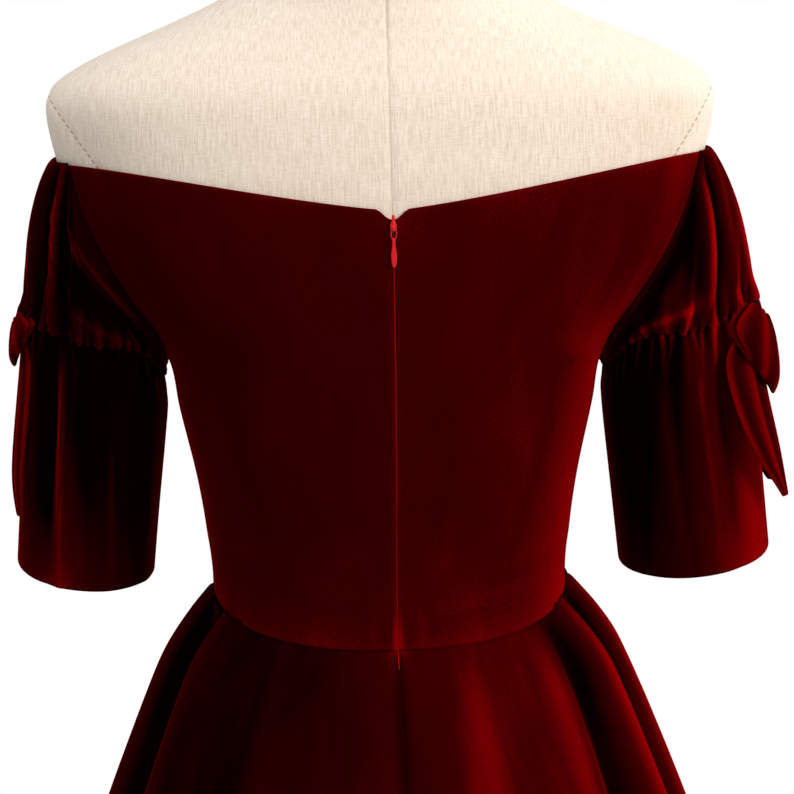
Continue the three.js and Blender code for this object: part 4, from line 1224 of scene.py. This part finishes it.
def add_coil():
    """The strip of coil that shows in the slit, from its top to just below the waist seam."""
    waist = BACK_WAIST[0] - SEAM_GAP
    heights = np.arange(waist - 10, COIL_TOP, COIL_PITCH / 2)
    across, height = np.meshgrid(np.linspace(-COIL_HALF, COIL_HALF, 7), heights)
    drop = np.maximum(waist - height, 0)
    turns = 0.15 * np.cos(np.arange(len(heights)) * np.pi)[:, None]
    faces = []
    for lift in (CLOTH * 0.75 + turns - 1.6 * across**2, 0.05):
        base = on_form(np.pi / 2 + 0 * across, np.maximum(height, waist), REST + lift + 0 * across)
        y = base[..., 1] + read_table(FLARE, 1, drop) - REST * 0.6
        faces.append(np.stack([across, y, height], -1))
    return cloth_shell("zip_coil_nylon", faces[0], faces[1], 0.8, 275)


finish_piece(add_coil(), coil_red, ["zip_coil"])

# Enamel on die-cast zinc: a hard gloss coat in a brighter red than the velvet, with faint
# patches of about 1 mm that are a little less smooth.
red_enamel = new_material("red_gloss_enamel")
place = add_node(red_enamel, "ShaderNodeTexCoord", {}).outputs["Object"]
speck = add_node(red_enamel, "ShaderNodeTexNoise", {"Vector": place, "Scale": 900.0, "Detail": 2.0})
speck_range = add_node(red_enamel, "ShaderNodeMapRange", {
    "Value": speck.outputs["Fac"], "To Min": 0.2, "To Max": 0.34,
})
gloss_surface = add_node(red_enamel, "ShaderNodeBsdfPrincipled", {
    "Base Color": srgb("#d0101c"),
    "Roughness": speck_range.outputs["Result"],
    "IOR": 1.5,
    "Coat Weight": 0.25,
    "Coat Roughness": 0.1,
})
add_node(red_enamel, "ShaderNodeOutputMaterial", {"Surface": gloss_surface.outputs["BSDF"]})

# how far back the slider's plate begins and the pull's axis is, in mm
BODY_BACK = float(on_form(np.array(np.pi / 2), np.array(float(ZIP_TOP)), REST + CLOTH)[1]) + 0.6
PULL_AXIS = BODY_BACK + SLIDER_THICK + 0.35 + PULL_THICK / 2


def plate_from_outline(name, outline, hole, thick, middle, rounding):
    """A flat metal piece: an outline and its hole are bridged, extruded and rounded.
    The outline is in (x, z) from the pull's axis; the plate is thick along y about middle."""
    bpy.ops.object.select_all(action="DESELECT")
    count = len(outline)
    loops = [outline] + ([hole] if hole else [])
    for ring in loops:
        bpy.ops.mesh.primitive_circle_add(vertices=count, radius=MM)
        ring_object = bpy.context.active_object
        for vertex, (x, z) in zip(ring_object.data.vertices, ring):
            vertex.co = (x * MM, (middle - thick / 2) * MM, (ZIP_TOP + z) * MM)
    bpy.ops.object.select_all(action="DESELECT")
    made = bpy.context.scene.objects[-len(loops):]
    for part in made:
        part.select_set(True)
    bpy.context.view_layer.objects.active = made[0]
    if hole:
        bpy.ops.object.join()
    piece = bpy.context.active_object
    piece.name = name
    bpy.ops.object.mode_set(mode="EDIT")
    bpy.ops.mesh.select_all(action="SELECT")
    if hole:
        bpy.ops.mesh.bridge_edge_loops()
    else:
        bpy.ops.mesh.edge_face_add()
    bpy.ops.mesh.select_all(action="SELECT")
    bpy.ops.mesh.extrude_region_move(TRANSFORM_OT_translate={"value": (0, thick * MM, 0)})
    bpy.ops.mesh.select_all(action="SELECT")
    bpy.ops.mesh.normals_make_consistent(inside=False)
    bpy.ops.object.mode_set(mode="OBJECT")
    return round_edges(piece, rounding, 40, 40)


def smooth_ring(rows, count):
    """Evenly spaced points round a closed outline, given by (x, z) corners."""
    corners = np.array(rows + rows[:1], float)
    lengths = np.append(0, np.cumsum(np.linalg.norm(np.diff(corners, axis=0), axis=1)))
    at = np.linspace(0, lengths[-1], count + 1)[:-1]
    return list(zip(np.interp(at, lengths, corners[:, 0]), np.interp(at, lengths, corners[:, 1])))


slider = plate_from_outline("zip_slider_enamel", smooth_ring([
    (0.6, 8.6), (-0.6, 8.6), (-1, 8), (-1, 4.4), (-1.9, 2.8), (-1.9, -0.4), (-1.1, -1.6),
    (1.1, -1.6), (1.9, -0.4), (1.9, 2.8), (1, 4.4), (1, 8),
], SLIDER_POINTS), None, SLIDER_THICK, BODY_BACK + SLIDER_THICK / 2, 0.4)
bail = plate_from_outline("zip_bail", smooth_ring([
    (-1.75, -1.1), (1.75, -1.1), (1.75, 1.3), (1.2, 1.7), (-1.2, 1.7), (-1.75, 1.3),
], SLIDER_POINTS), smooth_ring([
    (-1.05, -0.85), (1.05, -0.85), (1.05, 1), (-1.05, 1),
], SLIDER_POINTS), BAIL_THICK, 0, 0.2)
bail.select_set(True)
bpy.context.view_layer.objects.active = bail
bpy.ops.transform.rotate(value=math.pi / 2, orient_axis="Z", center_override=(0, 0, 0))
bpy.ops.transform.translate(value=(0, PULL_AXIS * MM, 0))
bpy.ops.object.transform_apply(location=True, rotation=True, scale=True)
slider.select_set(True)
bpy.context.view_layer.objects.active = slider
bpy.ops.object.join()
slider.select_set(False)
finish_piece(slider, red_enamel, ["zip_slider"])

# The pull's outline and its eye's, down their right halves from the top, in (x, z).
PULL_HALF = [
    (0, 0.45), (0.9, 0.4), (1.6, -0.1), (1.95, -1.2), (1.95, -4.2), (1.6, -5.8), (1.05, -7),
    (0.85, -8.4), (1.0, -10.5), (1.4, -13), (1.7, -15.5), (1.7, -18.5), (1.45, -21), (0.95, -23),
    (0.4, -23.8), (0, -23.9),
]
EYE_HALF = [(0, -0.45), (0.8, -0.5), (1.2, -1.1), (1.25, -4.2), (0.8, -5.3), (0, -5.6)]
pull_ring, eye_ring = [
    smooth_ring(half + [(-x, z) for x, z in half[-2:0:-1]], PULL_POINTS)
    for half in (PULL_HALF, EYE_HALF)
]
pull = plate_from_outline("zip_pull_enamel", pull_ring, eye_ring, PULL_THICK, PULL_AXIS, 0.25)
finish_piece(pull, red_enamel, ["zip_pull"], body="pull_tab")

# ---------------------------------------------------------------------------
# The studio: a plain pale floor, soft boxes on both sides and a white surround, with a camera
# behind the form at the height of the neckline.

# A painted floor: matt and pale.
floor_white = new_material("pale_floor")
floor_surface = add_node(floor_white, "ShaderNodeBsdfPrincipled", {
    "Base Color": srgb("#dedcd8"), "Roughness": 0.8,
})
add_node(floor_white, "ShaderNodeOutputMaterial", {"Surface": floor_surface.outputs["BSDF"]})
bpy.ops.mesh.primitive_circle_add(vertices=128, radius=2.6, fill_type="NGON")
floor = bpy.context.active_object
floor.name = "studio_floor"
floor.data.materials.append(floor_white)

world = bpy.data.worlds.new("white_surround")
bpy.context.scene.world = world
world.use_nodes = True
world.node_tree.nodes.clear()
ray = add_node(world, "ShaderNodeLightPath", {})
strength = add_node(world, "ShaderNodeMapRange", {
    "Value": ray.outputs["Is Camera Ray"], "To Min": 0.2, "To Max": 1.0,
})
surround = add_node(world, "ShaderNodeBackground", {
    "Color": (1, 1, 1, 1), "Strength": strength.outputs["Result"],
})
add_node(world, "ShaderNodeOutputWorld", {"Surface": surround.outputs["Background"]})

# name, place, aimed at, width, height, watts, colour
SOFT_BOXES = [
    ("key_box", (-2.0, 1.5, 2.1), (0, 0, 1.2), 1.0, 1.5, 57, "#fff6ec"),
    ("top_box", (0.4, 0.8, 3.0), (0, 0, 1.2), 1.6, 1.6, 32, "#ffffff"),
    ("fill_box", (2.2, 1.9, 1.7), (0, 0, 1.1), 1.2, 1.6, 7, "#fff6f0"),
    ("right_rim", (-1.7, -0.9, 1.5), (0, 0, 1.1), 0.5, 1.8, 24, "#ffffff"),
    ("left_rim", (1.7, -0.9, 1.5), (0, 0, 1.1), 0.5, 1.8, 8, "#ffffff"),
]
for name, at, aim, width, height, watts, colour in SOFT_BOXES:
    light = bpy.data.lights.new(name, "AREA")
    light.shape = "RECTANGLE"
    light.size, light.size_y = width, height
    light.energy = watts
    light.color = srgb(colour)[:3]
    box = bpy.data.objects.new(name, light)
    bpy.context.scene.collection.objects.link(box)
    box.matrix_world = Matrix.Translation(at) @ (
        (Vector(aim) - Vector(at)).to_track_quat("-Z", "Y").to_matrix().to_4x4())

CAMERA_AT = (0.13346, 2.17453, 1.45306)
AZIMUTH, PITCH, ROLL = (math.radians(a) for a in (176.3, 8.0, 1.0))
towards_camera = Vector((
    math.sin(AZIMUTH) * math.cos(PITCH), -math.cos(AZIMUTH) * math.cos(PITCH), math.sin(PITCH),
))
level_right = (-towards_camera).cross(Vector((0, 0, 1))).normalized()
level_up = level_right.cross(-towards_camera)
right = level_right * math.cos(ROLL) - level_up * math.sin(ROLL)
up = level_up * math.cos(ROLL) + level_right * math.sin(ROLL)
lens = bpy.data.cameras.new("camera")
lens.sensor_width = 36
lens.lens = 153.5
lens.clip_end = 50
camera = bpy.data.objects.new("camera", lens)
bpy.context.scene.collection.objects.link(camera)
turned = Matrix((right, up, towards_camera)).transposed().to_4x4()
camera.matrix_world = Matrix.Translation(CAMERA_AT) @ turned
bpy.context.scene.camera = camera
bpy.context.scene.view_settings.view_transform = "Standard"
